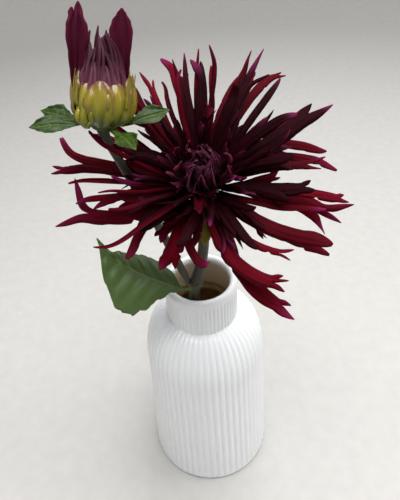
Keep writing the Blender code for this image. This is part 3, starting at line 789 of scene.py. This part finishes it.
def leaf(mat, sheath_mat):
    lower = (1.0, 4.0, 10.5, 19.5, 26.0, 27.0, 18.5, 0.4)
    upper = (0.8, 9.5, 13.0, 13.5, 11.5, 7.5, 1.6, 0.4)
    line = spline(LEAF_MIDRIB, 16)
    rows, cols = len(line) - 1, 28
    low_way, up_way = unit(np.array((0.05, -0.66, -0.75))), unit(np.array((0.0, 0.88, 0.47)))
    lift = np.array((0.0, -0.6, 0.8))
    run = np.concatenate([[0], np.cumsum(np.linalg.norm(np.diff(line, axis=0), axis=1))])
    verts, half, att, faces = [], [], {"along": [], "across": [], "low": []}, []
    for i in range(rows + 1):
        t = i / rows
        s = max(0.0, (t - 0.14) / 0.86)
        for j in range(cols + 1):
            u = 2 * j / cols - 1
            wide = even(lower if u > 0 else upper, s)
            wide = max(wide, 1.2 * (1 - t))
            # serrate edge
            beat = (run[i] / 6.2 + (0.4 if u > 0 else 0.0)) % 1.0
            tooth = 1 + (0.045 * beat - 0.027) * abs(u) ** 4 * smooth((s - 0.12) / 0.1) * (1 if t < 0.97 else 0)
            a = abs(u)
            q = run[i] - 0.55 * a * wide
            ripple = 0.62 * math.cos(2 * math.pi * q / 8.5) * math.sin(math.pi * min(1, a)) * smooth((s - 0.1) / 0.2)
            bulge = 0.10 * wide * math.sin(a * math.pi) + ripple + 0.5 * wander(run[i] / 9 + u, 5) * a
            keel = -0.5 * math.exp(-(a * wide / 1.0) ** 2)
            way = low_way if u > 0 else up_way
            p = line[i] + way * (wide * a * tooth) + lift * (bulge + keel)
            p = p + np.array((-0.9, 0, 0)) * (a * wide * (0.27 if u > 0 else 0.10))
            verts.append(p)
            half.append(0.22 + 0.55 * math.exp(-(a * wide / 1.1) ** 2) * (1 - 0.7 * t))
            att["along"].append(run[i])
            att["across"].append(u * wide)
            # low marks the lower half, which the leaf skin paints paler as painted light
            att["low"].append(smooth(u * 2.5))
    n = cols + 1
    for i in range(rows):
        for j in range(cols):
            faces.append((i * n + j, i * n + j + 1, (i + 1) * n + j + 1, (i + 1) * n + j))
    dress(closed_shell("leaf_blade", verts, faces, half, att, [mat]), "leaf_green", "leaf")

    # the leaf's base clasps the stem: a collar, higher on the leaf's side, with a thin pale edge
    verts, half, att, faces = [], [], {"along": [], "across": [], "low": []}, []
    steps, levels = 36, 6
    for i in range(levels + 1):
        v = i / levels
        for j in range(steps + 1):
            a = math.radians(150 + 300 * j / steps)
            side = math.cos(a - math.radians(230))
            z = 195.6 + (2.0 + 2.4 * side) * v + 0.2 * math.sin(5 * a) * v
            along = (z - 189) / 11
            r = 3.7 + 0.1 * v + 0.7 * v**3
            verts.append((-4.0 + 1.8 * along + r * math.cos(a), -13.55 + r * math.sin(a), z))
            half.append(0.26 - 0.14 * v)
            att["along"].append(6 * v)
            att["across"].append(4.0 * (1 - v) if v < 0.8 else 0.0)
            att["low"].append(0.0)
    n = steps + 1
    for i in range(levels):
        for j in range(steps):
            faces.append((i * n + j, i * n + j + 1, (i + 1) * n + j + 1, (i + 1) * n + j))
    dress(closed_shell("leaf_sheath", verts, faces, half, att, [sheath_mat]), "leaf_green", "leaf")


# =====================================================================  flower head
# The same whorl rules as the CAD
WHORLS = {
    "outer": {
        "radius": 9.5, "height": -2.0, "count": 9, "first": 0, "step": 40, "rise": 5, "droop": -21, "length": 66, "width": 5.2,
        "lean": ((0, -55), (40, -60), (85, -45), (120, -20), (160, 20), (200, -60), (240, 10), (280, 55), (320, 25), (360, -55)),
        "reach": ((0, 1.0), (80, 1.08), (120, 1.1), (200, 1.0), (240, 0.55), (280, 1.05), (320, 0.92), (360, 1.0)),
    },
    "middle": {
        "radius": 9.0, "height": 1.5, "count": 10, "first": 24, "step": 36, "rise": 15, "droop": -9, "length": 66, "width": 4.4,
        "lean": ((0, -10), (25, -50), (60, -35), (95, -5), (130, -40), (168, -30), (204, 65), (240, 75), (276, 80), (312, 40), (360, -10)),
        "reach": ((0, 0.95), (60, 1.03), (130, 1.05), (168, 1.0), (204, 0.7), (240, 0.62), (276, 0.95), (312, 0.86), (360, 0.95)),
    },
    "inner": {
        "radius": 8.0, "height": 5.0, "count": 9, "first": 20, "step": 40, "rise": 30, "droop": 4, "length": 59, "width": 4.2,
        "lean": ((0, 15), (60, 5), (100, 10), (140, -40), (180, -15), (220, -10), (260, -30), (300, 10), (360, 15)),
        "reach": ((0, 0.85), (20, 1.0), (100, 1.05), (140, 0.95), (180, 0.42), (220, 0.62), (260, 0.55), (300, 0.7), (340, 0.74), (360, 0.85)),
    },
    "heart": {
        "radius": 6.5, "height": 8.5, "count": 4, "first": 0, "step": 30, "rise": 46, "droop": 17, "length": 47, "width": 5.2,
        "lean": ((0, -20), (30, -20), (60, -5), (90, 10)),
        "reach": ((0, 0.9), (30, 1.03), (60, 0.85), (90, 1.1)),
    },
}
SCATTER = {"heading": 5.0, "length": 0.06, "droop": 4.0, "width": 0.12}  # how far single florets stray from their whorl
BROAD = {  # the broad florets: width in mm and the share of the length that is cleft in two
    "outer_floret_01": (10.5, 0.34), "outer_floret_06": (8.0, 0.3), "outer_floret_07": (9.0, 0.0), "outer_floret_08": (7.5, 0.0),
    "middle_floret_08": (6.0, 0.15), "middle_floret_09": (7.0, 0.0), "inner_floret_01": (8.0, 0.16), "inner_floret_02": (7.0, 0.3),
    "inner_floret_06": (7.0, 0.0), "inner_floret_09": (7.0, 0.14),
}
# glow at base, middle and tip: the florets' own tone from near-black maroon to crimson, with painted light let through
# the brighter ones
DARK, DEEP, MID, RED = (0.02, 0.10, 0.16), (0.05, 0.28, 0.38), (0.08, 0.48, 0.62), (0.25, 0.88, 0.95)
LOOKS = {
    "outer_floret_01": dict(glow=(0.2, 0.8, 0.7), root=0.72, magenta=0.35, ragged=0.06, lobes=[
        (0, 3, 44, 0.95, 12, 20, 0.3), (3, 5, 8, 0.75, -10, 40, 0.6), (5, 8, -28, 0.60, -20, -60, 0.8)]),
    "outer_floret_02": dict(glow=MID, magenta=0.3, hook=-8),
    "outer_floret_03": dict(glow=MID, side_hook=16),
    "outer_floret_04": dict(glow=DEEP, magenta=0.3),
    "outer_floret_05": dict(glow=DEEP, magenta=0.4, root=0.9, lobes=[(0, 4, 14, 0.9, 0, 0, 0.2), (4, 8, -14, 1.0, 0, 0, 0.2)]),
    "outer_floret_06": dict(glow=(0.12, 0.55, 0.55), root=0.72, magenta=0.4, mag_from=0.5, lobes=[
        (0, 4, 40, 0.95, 12, -20, 0.3), (4, 8, -62, 1.15, 30, 30, 0.6)]),
    "outer_floret_07": dict(glow=(0.30, 0.9, 0.8), tip=2.2, ragged=0.12, hook=-40, root=0.80, lobes=[
        (0, 3, 20, 0.6, -20, 30, 0.4), (3, 8, -6, 1.0, 20, -30, 0.5)]),
    "outer_floret_08": dict(glow=(0.2, 0.72, 0.7), magenta=0.6, mag_from=0.75, tip=1.2, hook=14, root=0.86, lobes=[
        (0, 3, 14, 0.6, -10, 20, 0.3), (3, 8, -4, 1.0, 10, -20, 0.5)]),
    "outer_floret_09": dict(glow=MID, ragged=0.14, magenta=0.3),
    "middle_floret_01": dict(glow=MID, magenta=0.45, mag_from=0.6, bends=((0.78, -12, -10),)),
    "middle_floret_02": dict(glow=MID, root=0.93, lobes=[(0, 4, 12, 0.7, 0, 0, 0.0), (4, 8, -6, 1.0, 0, 0, 0.0)]),
    "middle_floret_03": dict(glow=RED, magenta=0.9, mag_from=0.82, side_hook=40),
    "middle_floret_04": dict(glow=DEEP, root=0.93, lobes=[(0, 4, 12, 0.8, 0, 0, 0.0), (4, 8, -8, 1.0, 0, 0, 0.0)]),
    "middle_floret_05": dict(glow=MID, magenta=0.8, mag_from=0.86, hook=40, side_hook=-30),
    "middle_floret_06": dict(glow=MID, magenta=0.5),
    "middle_floret_07": dict(glow=(0.1, 0.4, 0.4), magenta=0.7, mag_from=0.8, tip=2.6, hook=60, side_hook=10),
    "middle_floret_08": dict(glow=(0.25, 0.9, 0.75), root=0.88, ragged=0.12, lobes=[
        (0, 3, 16, 0.7, -20, 0, 0.1), (3, 5, 0, 1.0, 10, 0, 0.2), (5, 8, -26, 0.9, -30, 0, 0.3)]),
    "middle_floret_09": dict(glow=(0.08, 0.4, 0.5), ragged=0.14, tip=1.6),
    "middle_floret_10": dict(glow=RED, magenta=0.3, root=0.9, lobes=[(0, 4, 12, 0.7, 0, 20, 0.2), (4, 8, -8, 1.0, 0, 0, 0.2)]),
    "inner_floret_01": dict(glow=(0.02, 0.16, 0.26), root=0.78, ragged=0.2, magenta=0.7, mag_from=0.9, lobes=[(0, 4, 10, 0.65, 0, 0, 0.0), (4, 8, -6, 1.15, 0, 0, 0.0)]),
    "inner_floret_02": dict(glow=(0.02, 0.22, 0.35), root=0.68, ragged=0.22, lobes=[
        (0, 3, 10, 0.80, 0, 15, 0.1), (3, 6, -3, 1.0, 10, 60, 0.8), (6, 8, -38, 0.62, 0, 0, 0.0)]),
    "inner_floret_03": dict(glow=DEEP, magenta=0.8, mag_from=0.86, root=0.66, lobes=[
        (0, 4, 9, 0.8, 20, 30, 0.3), (4, 8, -9, 1.0, -10, -20, 0.3)]),
    "inner_floret_04": dict(glow=MID, hook=45, side_hook=30, magenta=0.6, mag_from=0.88),
    "inner_floret_05": dict(glow=DARK, side_hook=-30, magenta=0.6, mag_from=0.88),
    "inner_floret_06": dict(glow=DARK, hook=-30, ragged=0.1),
    "inner_floret_07": dict(glow=DARK, tip=2.0),
    "inner_floret_08": dict(glow=DARK, ragged=0.2),
    "inner_floret_09": dict(glow=DARK, root=0.87, lobes=[(0, 4, 12, 0.8, 10, 0, 0.0), (4, 8, -14, 1.0, 0, 0, 0.0)]),
    "heart_floret_01": dict(glow=DARK, ragged=0.2),
    "heart_floret_02": dict(glow=DARK, magenta=0.8, mag_from=0.82, ragged=0.14, hook=-20),
    "heart_floret_03": dict(glow=DARK, tip=3.4),
    "heart_floret_04": dict(glow=DARK, magenta=0.9, mag_from=0.72, ragged=0.05,
                            profile=[(0, 2.4), (0.3, 5.8), (0.5, 6.4), (0.68, 4.8), (0.8, 2.6), (0.9, 4.0), (0.97, 2.4), (1, 0.5)]),
}
# Narrow florets between the seats of the CAD whorls: whorl, share of its length, how much higher they stand
BETWEEN = (("outer", 0.94, 4), ("middle", 0.92, 5), ("inner", 0.88, 5))


def between(values, x):
    for (a, p), (b, q) in zip(values, values[1:]):
        if x <= b:
            s = min(1.0, max(0.0, (x - a) / (b - a)))
            return p + (q - p) * s * s * (3 - 2 * s)
    return values[-1][1]


def stray(k, kind):
    v = math.sin(k * 12.9898 + kind * 78.233) * 43758.5453
    return 2 * (v - math.floor(v)) - 1


def ray_florets():
    """Each CAD floret: node, whorl, seat, heading, sway, rise, droop, length, width."""
    out = []
    for whorl, w in WHORLS.items():
        for k in range(w["count"]):
            n = len(out) + 1
            node = f"{whorl}_floret_{k + 1:02d}"
            seat = (w["first"] + w["step"] * k) % 360
            width = BROAD.get(node, (w["width"] * (1 + SCATTER["width"] * stray(n, 4)), 0.0))[0]
            out.append((node, whorl, seat, seat + SCATTER["heading"] * stray(n, 2), between(w["lean"], seat), w["rise"],
                        w["droop"] + SCATTER["droop"] * stray(n, 3),
                        w["length"] * between(w["reach"], seat) * (1 + SCATTER["length"] * stray(n, 1)), width))
    return out


def flower(crimson, maroon):
    for k, (node, whorl, seat, head, sway, rise, droop, length, width) in enumerate(ray_florets()):
        look = {"ragged": 0.14, "hook": 36 * stray(k, 21), "side_hook": 36 * stray(k, 22), "tip": 1.2 + 0.8 * stray(k, 23),
                "plateau": 0.80 + 0.07 * stray(k, 24), "wig": 7.0, "groove": 0.5, **LOOKS[node]}
        warm = whorl in ("outer", "middle")
        floret(node.replace("floret", "petal"), node, crimson if warm else maroon, "floret_crimson" if warm else "floret_maroon",
               HEAD, WHORLS[whorl]["radius"], WHORLS[whorl]["height"], seat, head, sway, rise, droop, length, width * 1.15,
               seed=k * 1.37, **look)
    for whorl, share, up in BETWEEN:
        w = WHORLS[whorl]
        warm = whorl in ("outer", "middle")
        for k in range(w["count"]):
            seat = (w["first"] + w["step"] * (k + 0.5)) % 360
            reach = between(w["reach"], seat)
            if reach < 0.8 or (whorl == "outer" and (seat > 240 or seat < 70)):
                continue
            head = seat + rng.uniform(-7, 7)
            looks = dict(glow=(MID, RED, DEEP)[int(rng.integers(0, 3))] if warm else DARK, ragged=rng.uniform(0.05, 0.3),
                         magenta=rng.uniform(0, 0.9), mag_from=0.8, hook=rng.uniform(-40, 30), side_hook=rng.uniform(-34, 34))
            if rng.uniform() < 0.6:
                cut = int(rng.integers(3, 6))
                looks.update(root=rng.uniform(0.74, 0.9), lobes=[
                    (0, cut, rng.uniform(3, 18), rng.uniform(0.6, 1.1), rng.uniform(-40, 40), rng.uniform(-40, 40), 0.4),
                    (cut, 8, rng.uniform(-18, -3), rng.uniform(0.6, 1.1), rng.uniform(-40, 40), rng.uniform(-40, 40), 0.4)])
            floret(f"{whorl}_between_{k + 1:02d}", None, crimson if warm else maroon, "floret_crimson" if warm else "floret_maroon",
                   HEAD, w["radius"] - 0.4, w["height"] + 1.2, seat, head, between(w["lean"], seat) + rng.uniform(-14, 14),
                   w["rise"] + up, w["droop"] + up, w["length"] * reach * share * rng.uniform(0.86, 1.04),
                   rng.uniform(3.0, 4.8), seed=50 + k * 1.37 + up, **looks)
    # narrow folded florets, crimson inside: they stand in the gaps at the far side and at the left
    for k in range(15):
        az = 62 + 11.5 * k + rng.uniform(-3, 3)
        low = k % 3 == 2
        sway = rng.uniform(-34, 34)
        floret(f"narrow_petal_{k + 1:02d}", None, maroon if k % 4 == 1 else crimson, "floret_maroon" if k % 4 == 1 else "floret_crimson",
               HEAD, 7.8, 6.4, az, az + rng.uniform(-8, 8), sway, 26 if low else 44, 2 if low else 22, rng.uniform(46, 58), rng.uniform(2.6, 3.8),
               seed=400 + 1.9 * k, glow=(0.06, 0.45, 0.75), magenta=rng.uniform(0, 1.0), mag_from=0.8, ragged=0.3,
               cup=((-60, -110, -130), (-45, -80, -60), (40, 90, 110))[k % 3], wig=8, hook=rng.uniform(-30, 40),
               side_hook=rng.uniform(-50, 50), tip=rng.uniform(0.4, 1.2), plateau=0.7)
    floret("rolled_petal", None, crimson, "floret_crimson", HEAD, 8.6, 3.0, 192, 188, -12, 36, 22, 38, 5.2, seed=77.0,
           cup=(-60, -110, -150), glow=DEEP, magenta=1.0, mag_from=0.45, hook=25, tip=2.0, ragged=0.05)
    # shorter florets that fill the whorls: radius, height, count, first azimuth, rise, droop, length, width, glow
    fill = [
        (9.0, -0.6, 10, 4, 4, -14, 37, 6.0, (0.08, 0.50, 0.62), "under"),
        (8.6, 2.8, 12, 17, 20, -4, 36, 5.4, (0.03, 0.24, 0.36), "low"),
        (7.6, 6.2, 12, 9, 33, 10, 33, 5.2, (0.01, 0.12, 0.20), "mid"),
        (6.6, 8.4, 12, 24, 46, 24, 33, 4.8, (0.0, 0.08, 0.14), "high"),
        (6.2, 9.6, 12, 11, 60, 56, 25, 5.0, (0.0, 0.06, 0.12), "top"),
    ]
    sections = [(-45, -45, -45), (-50, -75, -100), (-40, -60, -70), (25, 50, 80), (-70, -110, -120)]
    for r0, h0, count, first, rise, droop, length, width, glow, name in fill:
        for k in range(count):
            az = first + 360 / count * k + rng.uniform(-8, 8)
            front = math.exp(-(((az - 247 + 180) % 360 - 180) / 38.0) ** 2)
            seed = 100 + rng.uniform(0, 90)
            shine = (0.05, 0.62, 0.60) if rng.uniform() < 0.30 and rise < 50 else glow
            look = dict(cup=sections[int(rng.integers(0, 5))], ragged=rng.uniform(0.15, 0.5), spikes=int(rng.integers(0, 3)),
                        hook=rng.uniform(-28, 30), side_hook=rng.uniform(-25, 25), roll=rng.uniform(-60, 60),
                        wig=7.0, plateau=rng.uniform(0.7, 0.86), tip=rng.uniform(0.5, 1.8))
            if rng.uniform() < 0.55:
                cut = int(rng.integers(3, 6))
                look.update(root=rng.uniform(0.72, 0.9), lobes=[
                    (0, cut, rng.uniform(4, 16), rng.uniform(0.7, 1.1), rng.uniform(-25, 25), rng.uniform(-40, 40), 0.1),
                    (cut, 8, rng.uniform(-16, -4), rng.uniform(0.7, 1.1), rng.uniform(-25, 25), rng.uniform(-40, 40), 0.1)])
            floret(f"{name}_petal_{k + 1:02d}", None, maroon if rise > 15 else crimson,
                   "floret_maroon" if rise > 15 else "floret_crimson",
                   HEAD, r0, h0, az, az + rng.uniform(-8, 8), rng.uniform(-30, 30), rise + rng.uniform(-5, 5),
                   droop + rng.uniform(-9, 7), length * rng.uniform(0.82, 1.14) * (1 - 0.42 * front), width * rng.uniform(0.8, 1.25), rows=28,
                   seed=seed, glow=shine, magenta=rng.uniform(0, 0.9) ** 2, mag_from=rng.uniform(0.5, 0.8), **look)


def eye(mat):
    """The closed young florets: folded lengthwise and swirling in around a small hollow."""
    whorls = [
        # count, first, r0, h0, rise, droop, power, length, width, sway, cup
        (10, 6, 6.9, 9.4, 60, 98, 1.0, 19.5, 6.4, -26, (-20, -50, -80)),
        (11, 24, 6.1, 9.4, 66, 128, 1.1, 20.0, 5.4, -46, (14, 54, 90)),
        (11, 0, 5.1, 9.6, 70, 146, 1.3, 20.0, 5.0, -62, (14, 50, 80)),
        (10, 14, 4.0, 9.6, 76, 158, 1.7, 17.5, 4.4, -80, (14, 46, 70)),
        (8, 5, 2.8, 9.6, 82, 140, 2.0, 13.0, 3.4, -70, (14, 46, 70)),
        (6, 20, 1.4, 9.6, 86, 104, 1.6, 8.0, 2.4, -20, (14, 50, 80)),
    ]
    cols = 10
    for w, (count, first, r0, h0, rise, droop, power, length, width, sway, cup) in enumerate(whorls):
        parts = []
        for k in range(count):
            az = first + 360 / count * k + rng.uniform(-9, 9)
            v, f, h, a = strap(
                HEAD, r0, h0, az, az, sway + rng.uniform(-18, 18), rise + rng.uniform(-5, 5), droop + rng.uniform(-14, 12),
                length * rng.uniform(0.84, 1.10), width * rng.uniform(0.7, 1.2), rows=26, cols=cols, cup=cup, base=2.6, tip=0.3,
                plateau=0.42, power=power, seed=200 + 10 * w + 1.7 * k, glow=(0.0, rng.uniform(0.05, 0.5), rng.uniform(0.2, 0.8)),
                wig=12, wave=1.0, groove=0.9, roll=rng.uniform(-50, 50), thick=0.14, ragged=0.35, hook=rng.uniform(-30, 40))
            # painted highlight: magenta along each blade's edges, set through the tip attribute
            edge = rng.uniform(0.1, 1.0)
            a["tip"] = [edge * abs(2 * (i % (cols + 1)) / cols - 1) ** 5 * smooth(x / 9) for i, x in enumerate(a["along"])]
            parts.append((v, f, h, a))
        v, f, h, a = join(parts)
        obj = closed_shell(f"eye_whorl_{w + 1}", v, f, h, a, [mat])
        dress(obj, "floret_maroon", "eye_florets")
    # rolled quills at the left of the eye
    for k, (az, length) in enumerate(((168, 19), (182, 16), (196, 20), (154, 15)), 1):
        floret(f"eye_quill_{k}", None, mat, "floret_maroon", HEAD, 7.4, 9.0, az, az + rng.uniform(-8, 8), -16, 56, 66, length, 5.0,
               rows=24, seed=260 + k, cup=(70, 130, 160), glow=(0.1, 0.5, 0.7), wig=6, tip=1.6, thick=0.16, magenta=0.4, mag_from=0.5)


def receptacle(mat):
    """The green cup behind the florets, dark where they are seated."""
    profile = [(0, -11.6), (2.2, -11.6), (3.4, -11.4), (4.4, -10.2), (5.4, -9.0), (6.4, -7.6), (7.0, -6.4), (7.2, -4.4), (8.2, -3.2),
               (8.3, -1.4), (7.8, 1.6), (6.8, 5.2), (5.4, 8.4), (4.2, 9.8), (2, 10.0), (0, 10.0)]
    lathe("calyx_cup", profile, 40, lambda r, z, a, k: r * (1 + 0.025 * math.cos(8 * a)), mat, "bract_green", "flower_calyx",
          frame=HEAD, mark=lambda k: 1.0 if profile[k][1] > -4 else 0.0)
    for k, (az, rise) in enumerate([(-92, -12), (-136, -10), (35, -16), (130, -14)], 1):
        v, f, h, a = strap(HEAD, 7.9, -5.6, az, az, 0, rise, rise - 18, 19, 7.0, rows=24, cup=(30, 34, 40), wig=3, groove=0.15,
                           seed=300 + k, ragged=0.3, plateau=0.6)
        dress(closed_shell(f"flower_scale_{k}", v, f, h, a, [SCALE]), "bract_yellow", f"flower_bract_{k}")


# =====================================================================  bud
def bud(green, inner, purple, floretm):
    lathe("bud_base", [(0, -3.6), (2.2, -3.6), (3.6, -3.3), (4.8, -2.6), (6.0, -1.4), (6.6, 0.2), (6.6, 1.5), (5.8, 3.0), (3, 3.3), (0, 3.4)],
          40, lambda r, z, a, k: r * (1 + 0.02 * math.cos(8 * a)), green, "bract_green", "bud_calyx", frame=BUD)
    lengths = (18.5, 19.5, 22.0, 22.5, 21.5, 22.5, 21.5, 18.5)
    for k, length in enumerate(lengths):
        az = -95 + 45 * k + rng.uniform(-5, 5)
        v, f, h, a = strap(BUD, 6.2 - 0.5 * (k % 2), -0.6, az, az, rng.uniform(-7, 7), -9, 124, length * 1.12 + rng.uniform(-1.6, 1.6), 11.0,
                           rows=34, cols=14, cup=(34, 50, 62), wig=2.5, wave=0.8, groove=-0.6, power=0.53, thick=0.40, seed=60 + k, ragged=0.1, fray=0.3,
                           profile=[(0, 5.0), (0.3, 12.8), (0.58, 15.2), (0.78, 14.6), (0.90, 11.6), (0.97, 7.6), (1, 3.4)])
        dress(closed_shell(f"bud_inner_scale_{k + 1}", v, f, h, a, [inner]), "bract_yellow", f"bud_inner_bract_{k + 1}")
    # a crumpled lime scale low on the front, and thin dry edges that stand up at the sides
    v, f, h, a = strap(BUD, 10.4, -0.6, -126, -124, 16, 20, 128, 10.5, 10.0, rows=30, cols=16, cup=(46, 60, 74), wig=8, wave=1.5, groove=-0.9,
                       power=0.6, thick=0.8, seed=66.6, ragged=0.2, profile=[(0, 5.0), (0.3, 9.8), (0.7, 10.8), (0.9, 8.4), (1, 5.0)])
    a["along"] = [10.5] * len(v)
    dress(closed_shell("bud_crumpled_scale", v, f, h, a, [inner]), "bract_yellow", "bud_inner_bract_1")
    for k, az in enumerate((-34, -22, -8, 8, 22, 164, 180, 196, 212)):
        v, f, h, a = strap(BUD, 12.2, 7.4, az, az, 0, 84, 100, 12.5 + 4 * wander(k * 1.3, 3), 2.4, rows=20, cols=4, cup=(40, 60, 60), wig=14,
                           thick=0.16, seed=67 + k, ragged=0.5, tip=0.3, plateau=0.35)
        a["along"] = [12 + 0.5 * x for x in a["along"]]
        dress(closed_shell(f"bud_dry_edge_{k + 1}", v, f, h, a, [inner]), "bract_yellow", "bud_inner_bract_3")
    # five loose leaflets: the front ones hang, the back ones stand, the side ones show their face
    for k in range(1, 6):
        az = -60 + 73 * min(k - 1, 3.4)
        rise, roll = 8 + 21 * math.cos(math.radians(az - 58)), 45 * math.cos(math.radians(az))
        v, f, h, a = strap(BUD, 8.0, -1.4, az, az, 0, rise, rise - 4, 22.5, 8.5, rows=32, cols=12, cup=(30, 22, 34), wig=5, wave=0.7,
                           groove=-0.25, thick=0.3, seed=70 + k, roll=roll, roll_span=(0.0, 0.33), ragged=0.10,
                           profile=[(0, 3.6), (0.2, 2.9), (0.32, 3.8), (0.44, 7.4), (0.56, 9.6), (0.68, 9.2), (0.82, 5.8), (0.93, 2.2), (1, 0.4)])
        dress(closed_shell(f"bud_outer_leaflet_{k}", v, f, h, a, [green]), "bract_green", f"bud_outer_bract_{k}")
    # the two open florets, one at each side
    for k, (wide, folds, r0, lean) in enumerate([(0.94, 0.7, 11.4, 0), (0.88, 0.4, 8.4, 4)], 1):
        az, rise, roll = 186 + 180 * (k - 1), 90 + lean, 68 if k == 1 else -68
        v, f, h, a = strap(BUD, r0, 11.4, az, az, 0, rise, rise, 33.4, 13.0, rows=40, cols=12, cup=(40, 62, 30), wig=1.6,
                           groove=folds, wave=0.1, thick=0.3, fray=0.2, seed=80 + k, roll=-roll, roll_span=(-0.3, 0.25),
                           glow=(0.45, 0.45, 0.4), magenta=0.25, mag_from=0.1, root=0.86 if k == 1 else 1.0,
                           lobes=[(0, 5, -2, 0.62, 0, 0, 0.1), (5, 12, 5, 1.06, 0, 0, 0.1)] if k == 1 else (),
                           profile=[(p, q * wide) for p, q in ((0, 4.6), (0.22, 6.4), (0.45, 9.8), (0.62, 12.2), (0.75, 12.4 - 1.8 * (k == 1)), (0.86, 9.4 - 2.6 * (k == 1)), (0.94, 4.8 - 1.6 * (k == 1)), (1, 0.9))])
        dress(closed_shell(f"bud_open_petal_{k}", v, f, h, a, [floretm]), "floret_maroon", f"bud_open_floret_{k}")
    # closed florets wrapped about the middle: they fill the cup and lean in to one point
    k = 0
    for count, first, r0, h0, rise, droop, power, length, width, sway in (
            (12, 10, 7.5, 2.4, 64, 136, 1.15, 25.0, 7.6, 30), (9, 32, 6.4, 3.0, 70, 130, 1.25, 28.5, 7.4, 50),
            (8, 0, 6.0, 4.0, 76, 126, 1.5, 30.5, 6.4, 50), (5, 25, 3.0, 5.0, 84, 106, 1.5, 31.0, 5.0, 20)):
        for i in range(count):
            az = first + 360 / count * i + rng.uniform(-5, 5)
            v, f, h, a = strap(BUD, r0, h0, az, az, sway + rng.uniform(-22, 22), rise + rng.uniform(-3, 3), droop + rng.uniform(-6, 8),
                               length * rng.uniform(0.88, 1.07), width * rng.uniform(0.75, 1.15), rows=28, cols=12,
                               cup=(40, 90, 130) if rng.uniform() < 0.5 else (50, 110, 100),
                               wig=6.5, groove=1.3, roll=rng.uniform(-50, 50), roll_span=(0.3, 1), power=power, thick=0.3, seed=90 + 1.3 * k, glow=(1.5, 0.46, 0.05), tip=0.5, plateau=0.5)
            k += 1
            dress(closed_shell(f"bud_folded_petal_{k:02d}", v, f, h, a, [purple]), "bud_purple", "bud_cone")


# =====================================================================  run
camera()
studio()
CRIMSON = floret_material("petal_crimson", (0.014, 0.0005, 0.0022), (0.044, 0.0006, 0.0036), (0.074, 0.0007, 0.0050),
                          (0.120, 0.008, 0.050), (0.044, 0.0017, 0.0100), 0.012)
MAROON = floret_material("petal_maroon", (0.0062, 0.0005, 0.0014), (0.0185, 0.0006, 0.0026), (0.072, 0.0008, 0.0056),
                         (0.110, 0.011, 0.052), (0.018, 0.0010, 0.0050), 0.018)
EYE = floret_material("petal_eye", (0.006, 0.0008, 0.0020), (0.024, 0.0022, 0.0085), (0.075, 0.009, 0.029),
                      (0.26, 0.075, 0.150), (0.034, 0.0066, 0.019), 0.05, gloss=0.15, foot=(0.030, 0.022, 0.003))
BUDP = floret_material("petal_bud", (0.016, 0.0022, 0.0075), (0.072, 0.017, 0.036), (0.28, 0.185, 0.020),
                       (0.14, 0.034, 0.072), (0.165, 0.048, 0.082), 0.04, gloss=0.12, dusk=(0.020, 0.0030, 0.0080))
OPEN = floret_material("petal_open", (0.018, 0.0012, 0.005), (0.046, 0.0032, 0.013), (0.10, 0.009, 0.030),
                       (0.17, 0.028, 0.080), (0.095, 0.011, 0.034), 0.05, gloss=0.06)
SCALE = scale_material()
LEAF = green_material("leaf_skin", (0.004, 0.013, 0.001), (0.034, 0.064, 0.011), (0.20, 0.23, 0.07), rough=0.40, painted_light_low=0.8, gloss=0.30)
BRACT = green_material("bract_skin", (0.006, 0.018, 0.0015), (0.018, 0.040, 0.003), (0.048, 0.080, 0.012), rough=0.36, spacing=4.0, gloss=0.16)
CUP = Mat("calyx_skin", rough=0.5, specular=0.3)
CUP.to("Base Color", CUP.mix(CUP.attr("mark"), CUP.ramp(CUP.noise(CUP.coord("Object"), 300.0, 3.0), [
    (0.3, (0.03, 0.07, 0.01)), (0.7, (0.10, 0.15, 0.03))]), (0.012, 0.001, 0.003)))
vase()
stems()
leaf(LEAF, LEAF)
flower(CRIMSON, MAROON)
eye(EYE)
receptacle(CUP.mat)
bud(BRACT, SCALE, BUDP, OPEN)
